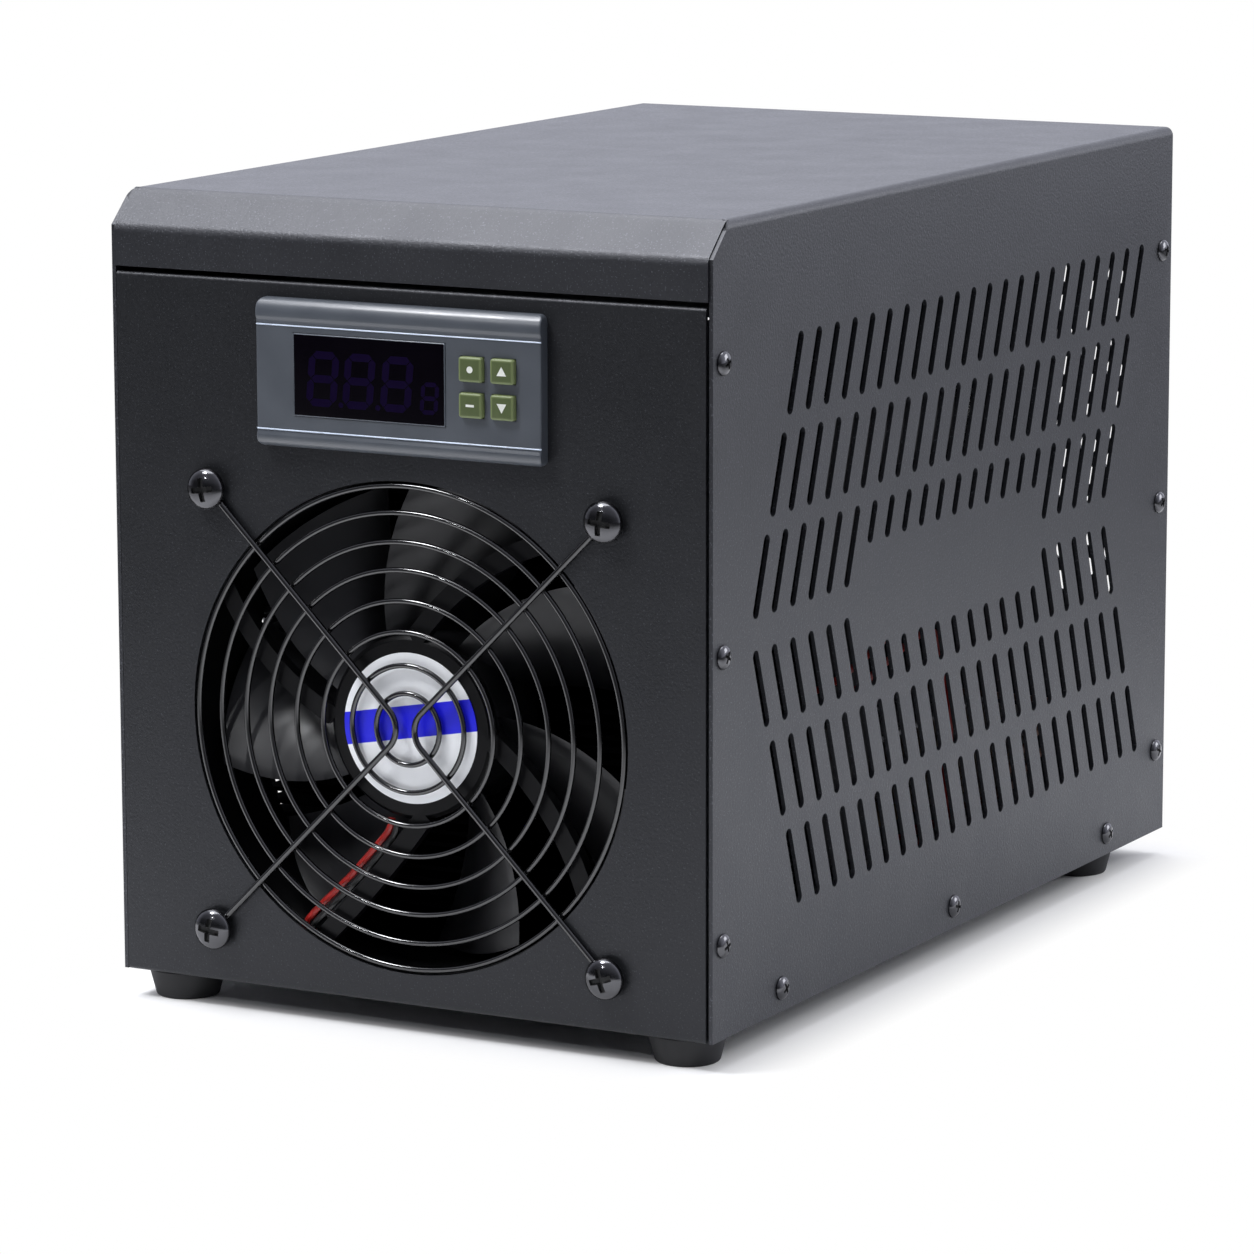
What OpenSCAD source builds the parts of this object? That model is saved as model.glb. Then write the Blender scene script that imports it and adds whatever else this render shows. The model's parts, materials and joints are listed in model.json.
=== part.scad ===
// Aquarium chiller: a folded steel case on four rubber feet. A guarded fan and a digital
// thermostat are in front, the sides are slotted, and inside a water block is cooled by
// thermoelectric modules on a finned heat sink. Millimetres, +Z up, front towards -Y,
// origin on the floor under the middle of the whole object.

/* [Case] */
// Width over the cover's side sheets
case_w = 158; // [156:1:166]
// Height of the case without its feet
case_h = 186; // [185:1:196]
// Depth from the front panel's face to the rear panel's face
case_d = 260; // [256:1:280]
// Thickness of the cover's steel sheet
sheet_t = 1; // [0.8:0.1:1.2]
// Outer radius of the bends along the top edges
bend_r = 2.2; // [1.8:0.1:3]
// Height of the front bevel
bevel_h = 8.6; // [7:0.2:10]
// Depth of the front bevel
bevel_d = 9.2; // [8:0.2:11]
// Height of the lip under the bevel
lip_h = 8.9; // [7:0.2:10]
// Gap between the lip and the front panel's top edge
lip_gap = 1.2; // [0.8:0.1:1.6]
// Gap between a side sheet and what it closes over
side_gap = 0.5; // [0.3:0.1:0.6]
// Distance of the side sheets' front edge behind the front panel's face
side_setback = 0.6; // [0.4:0.1:1]

/* [Side slots] */
// Slots in a row
slot_n = 22; // [18:1:22]
// Distance from slot to slot along a row
slot_pitch = 9.35; // [9:0.05:9.5]
// Width of a slot
slot_w = 2.9; // [2.4:0.1:3.2]
// Height of a slot from tip to tip
slot_tall = 18.6; // [17:0.2:19.4]
// Height of the short slots round the bare patch
slot_short = 9.9; // [8:0.1:12]
// How far a slot's two ends lie apart along the row
slot_lean = 5.4; // [4:0.1:6]
// Distance from row to row
row_pitch = 22.25; // [22:0.05:22.6]
// How far each row away from the middle starts behind the one before
row_step = 8.45; // [8:0.05:8.6]
// First short slot of the two middle rows, counted from nought
short_first = 6; // [5:1:7]
// Last short slot of the two middle rows
short_last = 16; // [14:1:16]

/* [Tray and rear panel] */
// Thickness of the tray's and rear panel's steel sheet
tray_t = 1; // [0.8:0.1:1.2]
// Depth of the flanges behind the front panel
flange_d = 12; // [11:0.5:13]
// Height of the flanges along the floor
flange_h = 11.5; // [10:0.5:12]
// Diameter of a round vent hole in the rear panel
vent_d = 5; // [4:0.2:5.6]
// Distance between vent holes
vent_pitch = 8.2; // [7.6:0.1:8.4]
// Vent holes in a column
vent_n = 11; // [8:1:11]

/* [Feet] */
// Height of a rubber foot
foot_h = 7; // [6:0.5:10]
// Diameter of a foot where it meets the case
foot_top_d = 18.6; // [17:0.2:19]
// Diameter of a foot on the floor
foot_low_d = 15; // [14:0.2:16]
// Distance of a foot's middle from the cover's side
foot_in = 11.5; // [11:0.5:14]
// Distance of the front feet behind the front panel's face
foot_front = 10.4; // [10.2:0.2:14]
// Distance of the rear feet from the rear panel's face
foot_rear = 30; // [26:1:34]

/* [Fan] */
// Side of the square fan frame
fan_w = 120; // [118:1:120]
// Depth of the fan frame
fan_t = 25; // [24:0.5:26]
// Distance between the fan's mounting holes
fan_holes = 105; // [104:0.5:105.5]
// Height of the fan's centre above the case's bottom
fan_z = 65.3; // [64:0.1:66]
// Diameter of the round hole in the front panel
fan_hole_d = 115.6; // [115.4:0.1:116.4]
// Diameter of the fan frame's bore
fan_bore_d = 115; // [114:0.5:115.4]
// Diameter of the plate that carries the motor
motor_d = 43; // [42:0.5:45]
// Blades on the rotor
blade_n = 7; // [5:1:9]
// Diameter of the fan's shaft
shaft_d = 3; // [2.6:0.2:3.4]
// Diameter of the fan label
label_d = 35.4; // [34:0.2:37]

/* [Fan guard] */
// Middle diameter of the guard's outer ring
guard_d = 113.2; // [112.6:0.1:113.6]
// Thickness of the ring wire
ring_wire = 1.3; // [1.1:0.1:1.5]
// Thickness of the two support wires
leg_wire = 1.5; // [1.3:0.1:1.7]
// Distance between the two support wires at the middle
leg_gap = 3.6; // [3:0.1:5]
// Diameter of a guard screw's head
dome_d = 9.8; // [9:0.1:10.4]
// Height of a guard screw's head
dome_h = 2.8; // [2.2:0.1:3.2]

/* [Thermostat] */
// Width of the bezel
bezel_w = 75; // [74:0.5:77]
// Height of the bezel
bezel_h = 34.5; // [34:0.1:36]
// How far the bezel stands out of the panel
bezel_t = 3.4; // [3:0.1:3.8]
// Distance of the bezel's middle below the front panel's top edge
bezel_drop = 20.9; // [20.5:0.1:21.5]
// Width of the display window
window_w = 40.4; // [38:0.2:41]
// Height of the display window
window_h = 19.3; // [18:0.1:20]
// Distance of the window's middle left of the bezel's middle
window_left = 7.3; // [7:0.1:8]
// Width of a key
key_w = 6.1; // [5.6:0.1:6.3]
// Height of a key
key_h = 5.7; // [5.4:0.1:6]
// Distance between keys, across and up
key_pitch = 8.2; // [8:0.1:8.6]
// Distance of the keys' middle right of the bezel's middle
key_right = 23.9; // [23.5:0.1:24.2]
// How far a key stands out of the bezel's face
key_proud = 0.9; // [0.8:0.1:1.2]
// How far a key travels when pressed
key_travel = 0.5; // [0.3:0.1:0.6]
// Depth of the thermostat's case behind the panel
stat_d = 78; // [70:1:80]

/* [Cooling core] */
// Distance of the heat sink's sides from the cover's sides
sink_side = 19; // [17:1:21]
// Gap between the heat sink and the thermostat's case
sink_gap = 5.2; // [4.4:0.2:8]
// Length of the fins from front to back
fin_d = 46; // [42:1:48]
// Thickness of a fin
fin_t = 1; // [0.8:0.1:1.2]
// Distance from fin to fin
fin_pitch = 3; // [2.8:0.1:3.4]
// Thickness of the heat sink's base plate
plate_t = 8; // [7:0.5:9]
// Gap between neighbouring thermoelectric modules, side by side
module_space = 8; // [7:0.5:9]
// Thickness of a thermoelectric module
module_t = 3.6; // [3.2:0.1:4]
// Distance of the water block's sides from the cover's sides
block_side = 23; // [22:1:24]
// Height of the water block
block_h = 96; // [94:1:98]
// Thickness of the water block
block_t = 14; // [13:0.5:16]
// Thickness of the foam behind the water block
foam_t = 8; // [6:0.5:10]

/* [Water] */
// Diameter of the water spigots, for a 12 mm hose
spigot_d = 12; // [11:0.5:12.5]
// Bore of a spigot
spigot_bore = 8.4; // [7:0.2:9]
// Length of a spigot behind the rear panel
spigot_l = 24; // [20:1:30]
// Distance between the two water ports
port_gap = 44; // [42:1:48]
// Height of the water ports above the case's bottom
port_z = 108; // [106:1:110]
// Wall of the inner hoses
hose_wall = 2; // [1.6:0.1:2.2]

/* [Power supply] */
// Width of the case that the power supply leaves free for its leads
supply_side = 29; // [28:1:33]
// Distance of the power supply from the rear panel
supply_back = 41; // [41:1:45]
// Height of the power supply
supply_h = 38; // [36:1:40]

/* [Mains] */
// Width of the mains inlet's flange
inlet_w = 50; // [48:0.5:52]
// Height of the mains inlet's flange
inlet_h = 23; // [22.5:0.5:25]
// Width of the rocker switch's flange
switch_w = 15; // [14.5:0.1:16]
// Height of the rocker switch's flange
switch_h = 21; // [20.5:0.1:22]
// Angle that the rocker turns through
rocker_turn = 20; // [16:1:22]

/* [Hidden] */
$fn = 48;

// Clearances and the overrun of cuts
over = 1;
thread_gap = 0.05;
hole_gap = 0.3;
seat_gap = 0.1;
run_gap = 0.03;
slide_gap = 0.2;

// Small sizes of the case
relief_w = 1.4;
bend_lap = 15;
band_in = 0.01;
hole_pan = 1.8;
side_screw_in = 5.3;
side_screw_rear = 6.2;
side_screw_low = 22;
side_screw_top = 31.5;
floor_screw_z = 5.7;
floor_screw_front = 35;
floor_screw_rear = 37.7;
rows_top = 95.3;
rows_half = 12.9;
rows_y = 24.4;
flange_low = 14;
flange_end = 14;
top_flange_cut = 3;
rear_foot = 15;
rear_foot_cut = 8;
tray_screw_x = 50;
tray_screw_in = 8;
vent_side = 29.5;
vent_low = 62;
vent_columns = 3;
column_share = sqrt(3) / 2;

// Screws
m3_r = 1.5;
m4_r = 2;
pan_r = 2.85;
pan_h = 1.5;
pan_l = 5;
recess_depth_share = 0.6;
recess_long_share = 0.62;
recess_wide_share = 0.16;
nut4_r = 4.04;
nut4_h = 3.2;
foot_screw_seat = 2.6;
foot_bore_r = 4.4;
foot_round = 0.8;

// Small sizes of the fan
fan_corner = 6;
fan_flange = 4;
barrel_wall = 2;
fan_hole_r = 2.15;
sleeve_r = 4.3;
motor_back = 0.9;
motor_t = 3;
motor_chamfer = 1;
label_t = 0.25;
strut_w = 4.6;
strut_t = 3;
strut_sags = [3.6, 3.6, 3.6, 0.8];
strut_hub_angles = [-2, 88, 178, -80];
strut_rim_angles = [-38, 52, 149, -115.4];
lead_notch_w = 5.4;
lead_notch_t = 3.5;
lead_notch_angle = -119;
tube_r = 5.4;
bearing_r = 4;
bearing_t = 4;
core_r = 16.4;
core_t = 8;
tooth_w = 5;
cup_r = 21;
cup_wall = 1.6;
cup_back = 1.8;
cup_gap = 0.8;
cup_end = 1.5;
magnet_t = 1.6;
magnet_in = 1;
boss_r = 3.4;
boss_t = 3;
blade_tip_gap = 1.9;
blade_t = 1.3;
blade_front = 1.2;
blade_end = 2;
blade_root = 0.7;
blade_sweep = 22;
blade_hub_turn = 42;
blade_tip_turn = 34;
blade_phase = 114;
blade_cup = 1.6;
blade_steps = 6;
chord_steps = 4;

// Small sizes of the guard
ring_shares = [0.148, 0.263, 0.401, 0.528, 0.655, 0.77, 0.89, 1];
leg_bend_r = 2.6;
weld = 0.15;
eye_gap = 0.2;
guard_screw_l = 31.5;

// Small sizes of the thermostat
rail_top = 3.1;
rail_low = 1.3;
rail_edge = 1.2;
groove = 0.5;
groove_top = 6.1;
groove_low = 4.2;
bezel_round = 1.6;
ledge = 1.2;
window_t = 1.2;
window_in = 0.6;
cutout_gap = 0.3;
stat_w = 70.4;
stat_h = 28.4;
stat_wall = 1.6;
key_gap = 0.3;
key_flange = 0.7;
key_flange_t = 0.8;
key_flange_back = 0.3;
key_round = 0.5;
board_z = 4;
board_t = 1.6;
switch_side = 5;
plunger_r = 1.2;
plunger_t = 0.5;
plunger_gap = 0.3;
digits_w = 36;
digits_h = 15;
clip_t = 4;
clip_h = 18;
clip_d = 30;
clip_pad = 1.6;
terminal_w = 60;
terminal_h = 10;
terminal_d = 10;
terminal_screw_r = 1.8;
terminal_poles = 8;
probe_r = 2.5;
probe_l = 22;

// Small sizes of the cooling core
sink_front = 34;
sink_low = 6;
sink_round = 0.2;
module_margin = 12;
block_low = 28;
bolt_in = 5;
bolt_l = 23;
bolt_head_r = 3.5;
bolt_head_h = 2.6;
foam_side = 7;
bracket_x = 40;
bracket_w = 14;
bracket_t = 2;
bracket_leg = 18;
bracket_hole = 11;
bracket_screw_l = 6;
stub_l = 16;
channel_r = 4.2;

// Small sizes of the water ports
port_flange_r = 12;
port_flange_t = 3;
port_nut_r = 13;
port_nut_t = 5;
port_thread_r = 8;
port_thread_l = 9;
washer_t = 1.5;
washer_r = 11.5;
port_tip = 1;
clip_ring = 1;
clip_wide = 6;
clip_in = 3;
clip_ear = 3;
port_in_l = 14;

// Small sizes of the power supply
supply_x = -5.5;
supply_gap = 7.4;
supply_wall = 1.2;
supply_rise = 0.3;
lid_hole = 4;
lid_pitch = 9;
lid_columns = 10;
lid_rows = 8;
supply_end = 14;
lug_h = 14;
lug_d = 70;
lug_poles = 7;
board_rise = 5;
coil_w = 34;
coil_h = 24;
can_r = 9;
can_h = 26;

// Small sizes of the mains parts
mains_z = 32;
inlet_x = -32;
inlet_flange_t = 3;
inlet_body_w = 27;
inlet_body_h = 19.4;
inlet_body_d = 24;
inlet_mouth_w = 24.4;
inlet_mouth_h = 16.6;
inlet_mouth_d = 16;
inlet_corner = 4.4;
inlet_holes = 40;
inlet_hole_r = 1.7;
sink_head_r = 2.9;
sink_head_h = 1.6;
inlet_screw_l = 7;
pin_w = 2;
pin_h = 4;
pin_out = 13;
pin_tail = 8;
pin_side = 7;
pin_drop = 2;
switch_x = 20;
switch_flange_t = 2;
switch_body_w = 12.6;
switch_body_h = 18.6;
switch_body_d = 16;
rocker_w = 9.6;
rocker_r = 8;
rocker_wall_gap = 0.35;
rocker_rise = 2.6;
rocker_depth = 6;
pivot_r = 1;
pivot_l = 1.1;

// Wires
lead_d = 1.8;
fan_lead_d = 1.6;
lead_sides = 8;
lead_steps = 3;

// Derived sizes and places
foot_span = case_w - 2 * foot_in;
sink_w = case_w - 2 * sink_side;
block_w = case_w - 2 * block_side;
module_w = (block_w - 2 * module_margin - module_space) / 2;
module_gap = module_w + module_space;
bolt_x = block_w / 2 - bolt_in;
bolt_z = block_h / 2 - bolt_in;
supply_l = case_w - supply_side;
vent_x = case_w / 2 - vent_side;
side_screw_pitch = (case_h - side_screw_low - side_screw_top) / 2;
rows_z = case_h - rows_top;
front_reach = max(bezel_t + key_proud, leg_wire + dome_h);
whole_d = case_d + spigot_l + front_reach;
front_y = front_reach - whole_d / 2;
rear_y = front_y + case_d;
lip_z = case_h - bevel_h - lip_h;
panel_top = lip_z - lip_gap;
panel_w = case_w - 2 * (sheet_t + side_gap);
bezel_z = panel_top - bezel_drop;
fan_front = tray_t;
sink_h = bezel_z - stat_h / 2 - sink_gap - sink_low;
stat_holes_w = stat_w + 2 * cutout_gap;
stat_holes_h = stat_h + 2 * cutout_gap;
plate_back = sink_front + fin_d + plate_t;
block_front = plate_back + module_t;
block_back = block_front + block_t;
block_mid = block_low + block_h / 2;
foam_back = block_back + foam_t;
supply_front = foam_back + supply_gap;
supply_d = case_d - supply_back - supply_front;
side_screw_z = [for (i = [0:2]) side_screw_low + i * side_screw_pitch];
floor_screw_y = [for (i = [0:2])
    floor_screw_front + i * (case_d - floor_screw_front - floor_screw_rear) / 2];
key_spots = [[-1, 1], [-1, -1], [1, 1], [1, -1]];
supply_right = supply_x + supply_l / 2;
lug_top = tray_t + supply_rise + supply_wall + lug_h;

// Places and directions

// Puts a child that lies on its back onto the front panel's face, z towards the viewer
module on_front(x = 0, z = 0) {
    translate([x, front_y, foot_h + z]) rotate([90, 0, 0]) children();
}

// Puts a child that lies on its back onto the rear panel's face, z away from the case
module on_rear(x = 0, z = 0) {
    translate([x, rear_y, foot_h + z]) rotate([90, 0, 180]) children();
}

// Extrudes an outline of depth and height across the case, from x over a length
module across(x, length) {
    translate([x, front_y, foot_h]) rotate([90, 0, 90]) linear_extrude(length) children();
}

// Extrudes an outline of width and height from a depth backwards over a length
module backwards(y, length) {
    translate([0, front_y + y + length, foot_h]) rotate([90, 0, 0])
        linear_extrude(length) children();
}

// Places children in the case by width, depth behind the front face and height
module inside(x, y, z) {
    translate([x, front_y + y, foot_h + z]) children();
}

module both_sides() {
    children();
    mirror([1, 0, 0]) children();
}

module four_corners(x, y) {
    for (i = [-1, 1], j = [-1, 1]) translate([i * x, j * y, 0]) children();
}

// Shapes that repeat

// A square with round corners, about its middle
module round_square(w, h, r) {
    square([w - 2 * r, h], center = true);
    square([w, h - 2 * r], center = true);
    four_corners(w / 2 - r, h / 2 - r) circle(r);
}

// A band with round ends between two points
module band(a, b, w) {
    long = norm(b - a);
    turn = atan2(b[1] - a[1], b[0] - a[0]);
    translate(a) circle(d = w);
    translate(b) circle(d = w);
    // The straight part is a hair narrower, so that its sides cross the circles cleanly
    translate(a) rotate(turn) translate([0, band_in - w / 2]) square([long, w - 2 * band_in]);
}

// A bent sheet of a thickness on the left of an open line of points, its bends rounded
module folded(points, t) {
    last = len(points) - 1;
    for (i = [0:last - 1]) {
        long = norm(points[i + 1] - points[i]);
        turn = atan2(points[i + 1][1] - points[i][1], points[i + 1][0] - points[i][0]);
        translate(points[i]) rotate(turn) square([long, t]);
    }
    for (i = [1:last - 1]) {
        // The round of the bend reaches a little into both stretches
        turn = bend_lap + atan2(points[i][1] - points[i - 1][1],
            points[i][0] - points[i - 1][0]);
        next = atan2(points[i + 1][1] - points[i][1], points[i + 1][0] - points[i][0])
            - bend_lap;
        translate(points[i]) intersection() {
            circle(t);
            polygon([[0, 0], 2 * t * [-sin(turn), cos(turn)], 2 * t * [-sin((turn + next) / 2),
                cos((turn + next) / 2)], 2 * t * [-sin(next), cos(next)]]);
        }
    }
}

// The outline of such a sheet with sharp bends, as points
function left_of(a, b) = [a[1] - b[1], b[0] - a[0]] / norm(b - a);
function mitre(a, b) = (a + b) / (1 + a * b);
function mitred(p, t) = let (last = len(p) - 1,
    sides = [for (i = [0:last - 1]) left_of(p[i], p[i + 1])])
    concat(p, [for (i = [last:-1:0])
        p[i] + t * mitre(sides[max(0, i - 1)], sides[min(last - 1, i)])]);

// A cross recess, cut down from the top of a head
module cross_recess(r, depth) {
    for (turn = [0, 90]) rotate(turn)
        translate([-r * recess_long_share, -r * recess_wide_share, -depth])
            cube([2 * r * recess_long_share, 2 * r * recess_wide_share, depth + over]);
}

// A dome-headed screw whose head stands on z nought, its shank going down
module dome_screw(head_r, head_h, shank_r, shank_l) {
    ball = (head_r * head_r + head_h * head_h) / (2 * head_h);
    difference() {
        intersection() {
            translate([0, 0, head_h - ball]) sphere(ball);
            cylinder(r = head_r, h = head_h);
        }
        translate([0, 0, head_h]) cross_recess(head_r, head_h * recess_depth_share);
    }
    translate([0, 0, -shank_l]) cylinder(r = shank_r, h = shank_l + thread_gap);
}

module hex_nut(r, h, bore_r) {
    difference() {
        cylinder(r = r, h = h, $fn = 6);
        translate([0, 0, -over]) cylinder(r = bore_r, h = h + 2 * over);
    }
}

module tube(outer_r, inner_r, h) {
    difference() {
        cylinder(r = outer_r, h = h);
        translate([0, 0, -over]) cylinder(r = inner_r, h = h + 2 * over);
    }
}

// A point on the smooth curve through four points, between the middle two
function curve(a, b, c, d, t) = 0.5 * (2 * b + (c - a) * t
    + (2 * a - 5 * b + 4 * c - d) * t * t + (3 * b - a - 3 * c + d) * t * t * t);
function at(p, i) = p[max(0, min(len(p) - 1, i))];
function smooth(p, n) = [for (i = [0:len(p) - 2], k = [0:n - 1])
    curve(at(p, i - 1), p[i], p[i + 1], at(p, i + 2), k / n), p[len(p) - 1]];
function unit(v) = v / norm(v);
function heading(p, i) = unit(at(p, i + 1) - at(p, i - 1));
function square_to(v, t) = unit(v - (v * t) * t);
function carried(p, i) = i == 0
    ? square_to([0.3, 0.5, 0.8], heading(p, 0))
    : square_to(carried(p, i - 1), heading(p, i));

// A wire of one unbroken skin swept along a smooth curve through the route's points
module wire(route, d, sides = lead_sides) {
    p = smooth(route, lead_steps);
    n = len(p);
    points = [for (i = [0:n - 1])
        let (t = heading(p, i), u = carried(p, i), v = cross(t, u))
        for (k = [0:sides - 1]) p[i]
            + d / 2 * (cos(360 * k / sides) * u + sin(360 * k / sides) * v)];
    skin = [for (i = [0:n - 2], k = [0:sides - 1])
        let (a = i * sides + k, b = i * sides + (k + 1) % sides)
        each [[a, a + sides, b], [b, a + sides, b + sides]]];
    near = [for (k = [1:sides - 2]) [0, k, k + 1]];
    far = [for (k = [1:sides - 2])
        [(n - 1) * sides, (n - 1) * sides + k + 1, (n - 1) * sides + k]];
    polyhedron(concat(points, [p[0]]), concat(skin, near, far));
}

// Case

// One slot: a leaning band, cut short at the end that faces the bare patch
module slot(y, z, lean, long) {
    reach = slot_tall - slot_w;
    share = (long - slot_w) / reach;
    a = [y + lean * slot_lean / 2, z + lean * reach / 2];
    b = [y - lean * slot_lean / 2, z - lean * reach / 2];
    far = lean > 0 ? a : [y - slot_lean / 2 * lean, z - reach / 2];
    near = lean > 0 ? b : [y + slot_lean / 2 * lean, z + reach / 2];
    band(far, far + (near - far) * share, slot_w);
}

// All rows of slots; the rows above the middle lean back and the rows below lean forward
module slots() {
    for (side = [1, -1], row = [0:2], k = [0:slot_n - 1]) {
        y = rows_y + row * row_step + k * slot_pitch;
        z = rows_z + side * (rows_half + row * row_pitch);
        short = row == 0 && k >= short_first && k <= short_last;
        slot(y, z, side, short ? slot_short : slot_tall);
    }
}

module side_sheet() {
    // The slanted front corner follows the bevel
    slope = bevel_d / bevel_h;
    top = case_h - bend_r;
    polygon([[side_setback, 0], [case_d, 0], [case_d, top],
        [bevel_d - slope * bend_r, top],
        [side_setback, case_h - bevel_h + side_setback / slope]]);
}

module screw_marks() {
    for (z = side_screw_z) {
        translate([side_screw_in, z]) children();
        translate([case_d - side_screw_rear, z]) children();
    }
    for (y = floor_screw_y) translate([y, floor_screw_z]) children();
}

module top_outline(w, h, r) {
    translate([0, h - r]) square([w - 2 * r, 2 * r], center = true);
    for (side = [-1, 1]) translate([side * (w / 2 - r), h - r]) circle(r);
}

module cover() {
    inner_r = bend_r - sheet_t;
    top_w = case_w - 2 * (bend_r + side_gap);
    color("#3b3d42") {
        both_sides() across(case_w / 2 - sheet_t, sheet_t) difference() {
            side_sheet();
            slots();
            screw_marks() circle(hole_pan);
        }
        backwards(bevel_d + relief_w, case_d - bevel_d - relief_w) difference() {
            top_outline(case_w, case_h, bend_r);
            top_outline(case_w - 2 * sheet_t, case_h - sheet_t, inner_r);
            translate([-case_w / 2, case_h - 3 * bend_r])
                square([case_w, 2 * bend_r - sheet_t]);
        }
        // Lip and bevel between the side sheets, joined to the top by a narrower strip
        across(-panel_w / 2, panel_w)
            polygon(mitred([[sheet_t, lip_z], [sheet_t, case_h - bevel_h],
                [bevel_d, case_h - sheet_t], [bevel_d + relief_w / 2, case_h - sheet_t]],
                sheet_t));
        across(-top_w / 2, top_w) translate([bevel_d + relief_w / 4, case_h - sheet_t])
            square([2 * relief_w, sheet_t]);
    }
}

module cover_screws() {
    color("silver") both_sides() translate([case_w / 2, front_y, foot_h])
        rotate([90, 0, 90]) screw_marks() dome_screw(pan_r, pan_h, m3_r, pan_l);
}

module fan_screw_marks() {
    translate([0, fan_z]) four_corners(fan_holes / 2, fan_holes / 2) children();
}

module front_tray() {
    t = tray_t;
    depth = case_d - t - seat_gap;
    color("#2c2d31") difference() {
        union() {
            // Top flange, front panel and floor, folded from one sheet
            across(-panel_w / 2, panel_w)
                folded([[depth, t], [t, t], [t, panel_top - t],
                    [flange_d, panel_top - t]], t);
            both_sides() {
                across(panel_w / 2 - t, t) {
                    translate([t / 2, flange_low])
                        square([flange_d - t / 2, panel_top - flange_low - top_flange_cut]);
                    translate([flange_end, t / 2])
                        square([case_d - 2 * flange_end, flange_h - t / 2]);
                }
            }
        }
        // Fan hole, fan screws and thermostat cut-out
        on_front() translate([0, 0, -2 * t]) linear_extrude(t * 3) {
            translate([0, fan_z]) circle(d = fan_hole_d);
            fan_screw_marks() circle(m4_r + hole_gap / 2);
            translate([0, bezel_z]) square([stat_holes_w, stat_holes_h], center = true);
        }
        both_sides() across(panel_w / 2 - 2 * t, 3 * t)
            screw_marks() circle(m3_r + thread_gap);
        // Foot screws, bracket screws, supply and rear panel screws
        foot_marks() translate([0, 0, -over]) cylinder(r = m4_r + hole_gap, h = t + 2 * over);
        bracket_floor_marks() translate([0, 0, -over])
            cylinder(r = m3_r + thread_gap, h = t + 2 * over);
        tray_screw_marks() translate([0, 0, -over])
            cylinder(r = m3_r + hole_gap, h = t + 2 * over);
    }
}

module tray_screw_marks() {
    for (x = [-1, 0, 1]) inside(x * tray_screw_x, case_d - tray_screw_in, 0) children();
}

module vents() {
    step = vent_pitch * column_share;
    for (side = [-1, 1], c = [0:vent_columns - 1], k = [0:vent_n - 1 - c % 2])
        translate([side * (vent_x + c * step),
            vent_low + vent_d / 2 + (k + (c % 2) / 2) * vent_pitch]) circle(d = vent_d);
}

module port_marks() {
    for (side = [-1, 1]) translate([side * port_gap / 2, port_z]) children();
}

module rear_panel() {
    t = tray_t;
    low = t + seat_gap;
    high = case_h - sheet_t - side_gap;
    color("#2c2d31") {
        backwards(case_d - t, t) difference() {
            translate([-panel_w / 2, low]) square([panel_w, high - low]);
            vents();
            port_marks() circle(port_thread_r + hole_gap);
            // Mains inlet and rocker switch
            translate([inlet_x, mains_z]) {
                square([inlet_body_w + 2 * cutout_gap, inlet_body_h + 2 * cutout_gap],
                    center = true);
                for (side = [-1, 1]) translate([side * inlet_holes / 2, 0])
                    circle(m3_r + thread_gap);
            }
            translate([switch_x, mains_z])
                square([switch_body_w + 2 * cutout_gap, switch_body_h + 2 * cutout_gap],
                    center = true);
        }
        both_sides() across(panel_w / 2 - t, t) difference() {
            translate([case_d - flange_d, flange_low])
                square([flange_d - t / 2, high - flange_low - top_flange_cut]);
            screw_marks() circle(m3_r + thread_gap);
        }
        difference() {
            across(-panel_w / 2 + rear_foot_cut, panel_w - 2 * rear_foot_cut)
                translate([case_d - rear_foot, low]) square([rear_foot - t / 2, t]);
            tray_screw_marks() translate([0, 0, low - over])
                cylinder(r = m3_r + thread_gap, h = t + 2 * over);
        }
    }
}

module tray_screws() {
    color("silver") tray_screw_marks() mirror([0, 0, 1])
        dome_screw(pan_r, pan_h, m3_r, pan_l);
}

// Feet

module foot_marks() {
    for (side = [-1, 1], y = [foot_front, case_d - foot_rear])
        inside(side * foot_span / 2, y, 0) children();
}

module foot() {
    top_r = foot_top_d / 2;
    low_r = foot_low_d / 2;
    rotate_extrude() difference() {
        union() {
            polygon([[0, 0], [top_r, 0], [low_r, foot_round - foot_h], [0, foot_round - foot_h]]);
            translate([0, -foot_h]) square([low_r - foot_round, foot_round + over / 2]);
            translate([low_r - foot_round, foot_round - foot_h]) circle(foot_round);
        }
        translate([0, -foot_h - over]) square([m4_r + hole_gap, foot_h + 2 * over]);
        translate([0, -foot_h - over]) square([foot_bore_r, foot_h + over - foot_screw_seat]);
        translate([-foot_h, -foot_h]) square([foot_h, 2 * foot_h]);
    }
}

module feet() {
    color("#161616") foot_marks() foot();
}

module foot_screws() {
    color("silver") foot_marks() translate([0, 0, -foot_screw_seat]) mirror([0, 0, 1])
        dome_screw(foot_bore_r - hole_gap, pan_h * 1, m4_r,
            foot_screw_seat + tray_t + nut4_h + m4_r / 2);
}

module foot_nuts() {
    color("silver") foot_marks() translate([0, 0, tray_t])
        hex_nut(nut4_r, nut4_h, m4_r + thread_gap);
}

// Fan guard

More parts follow.
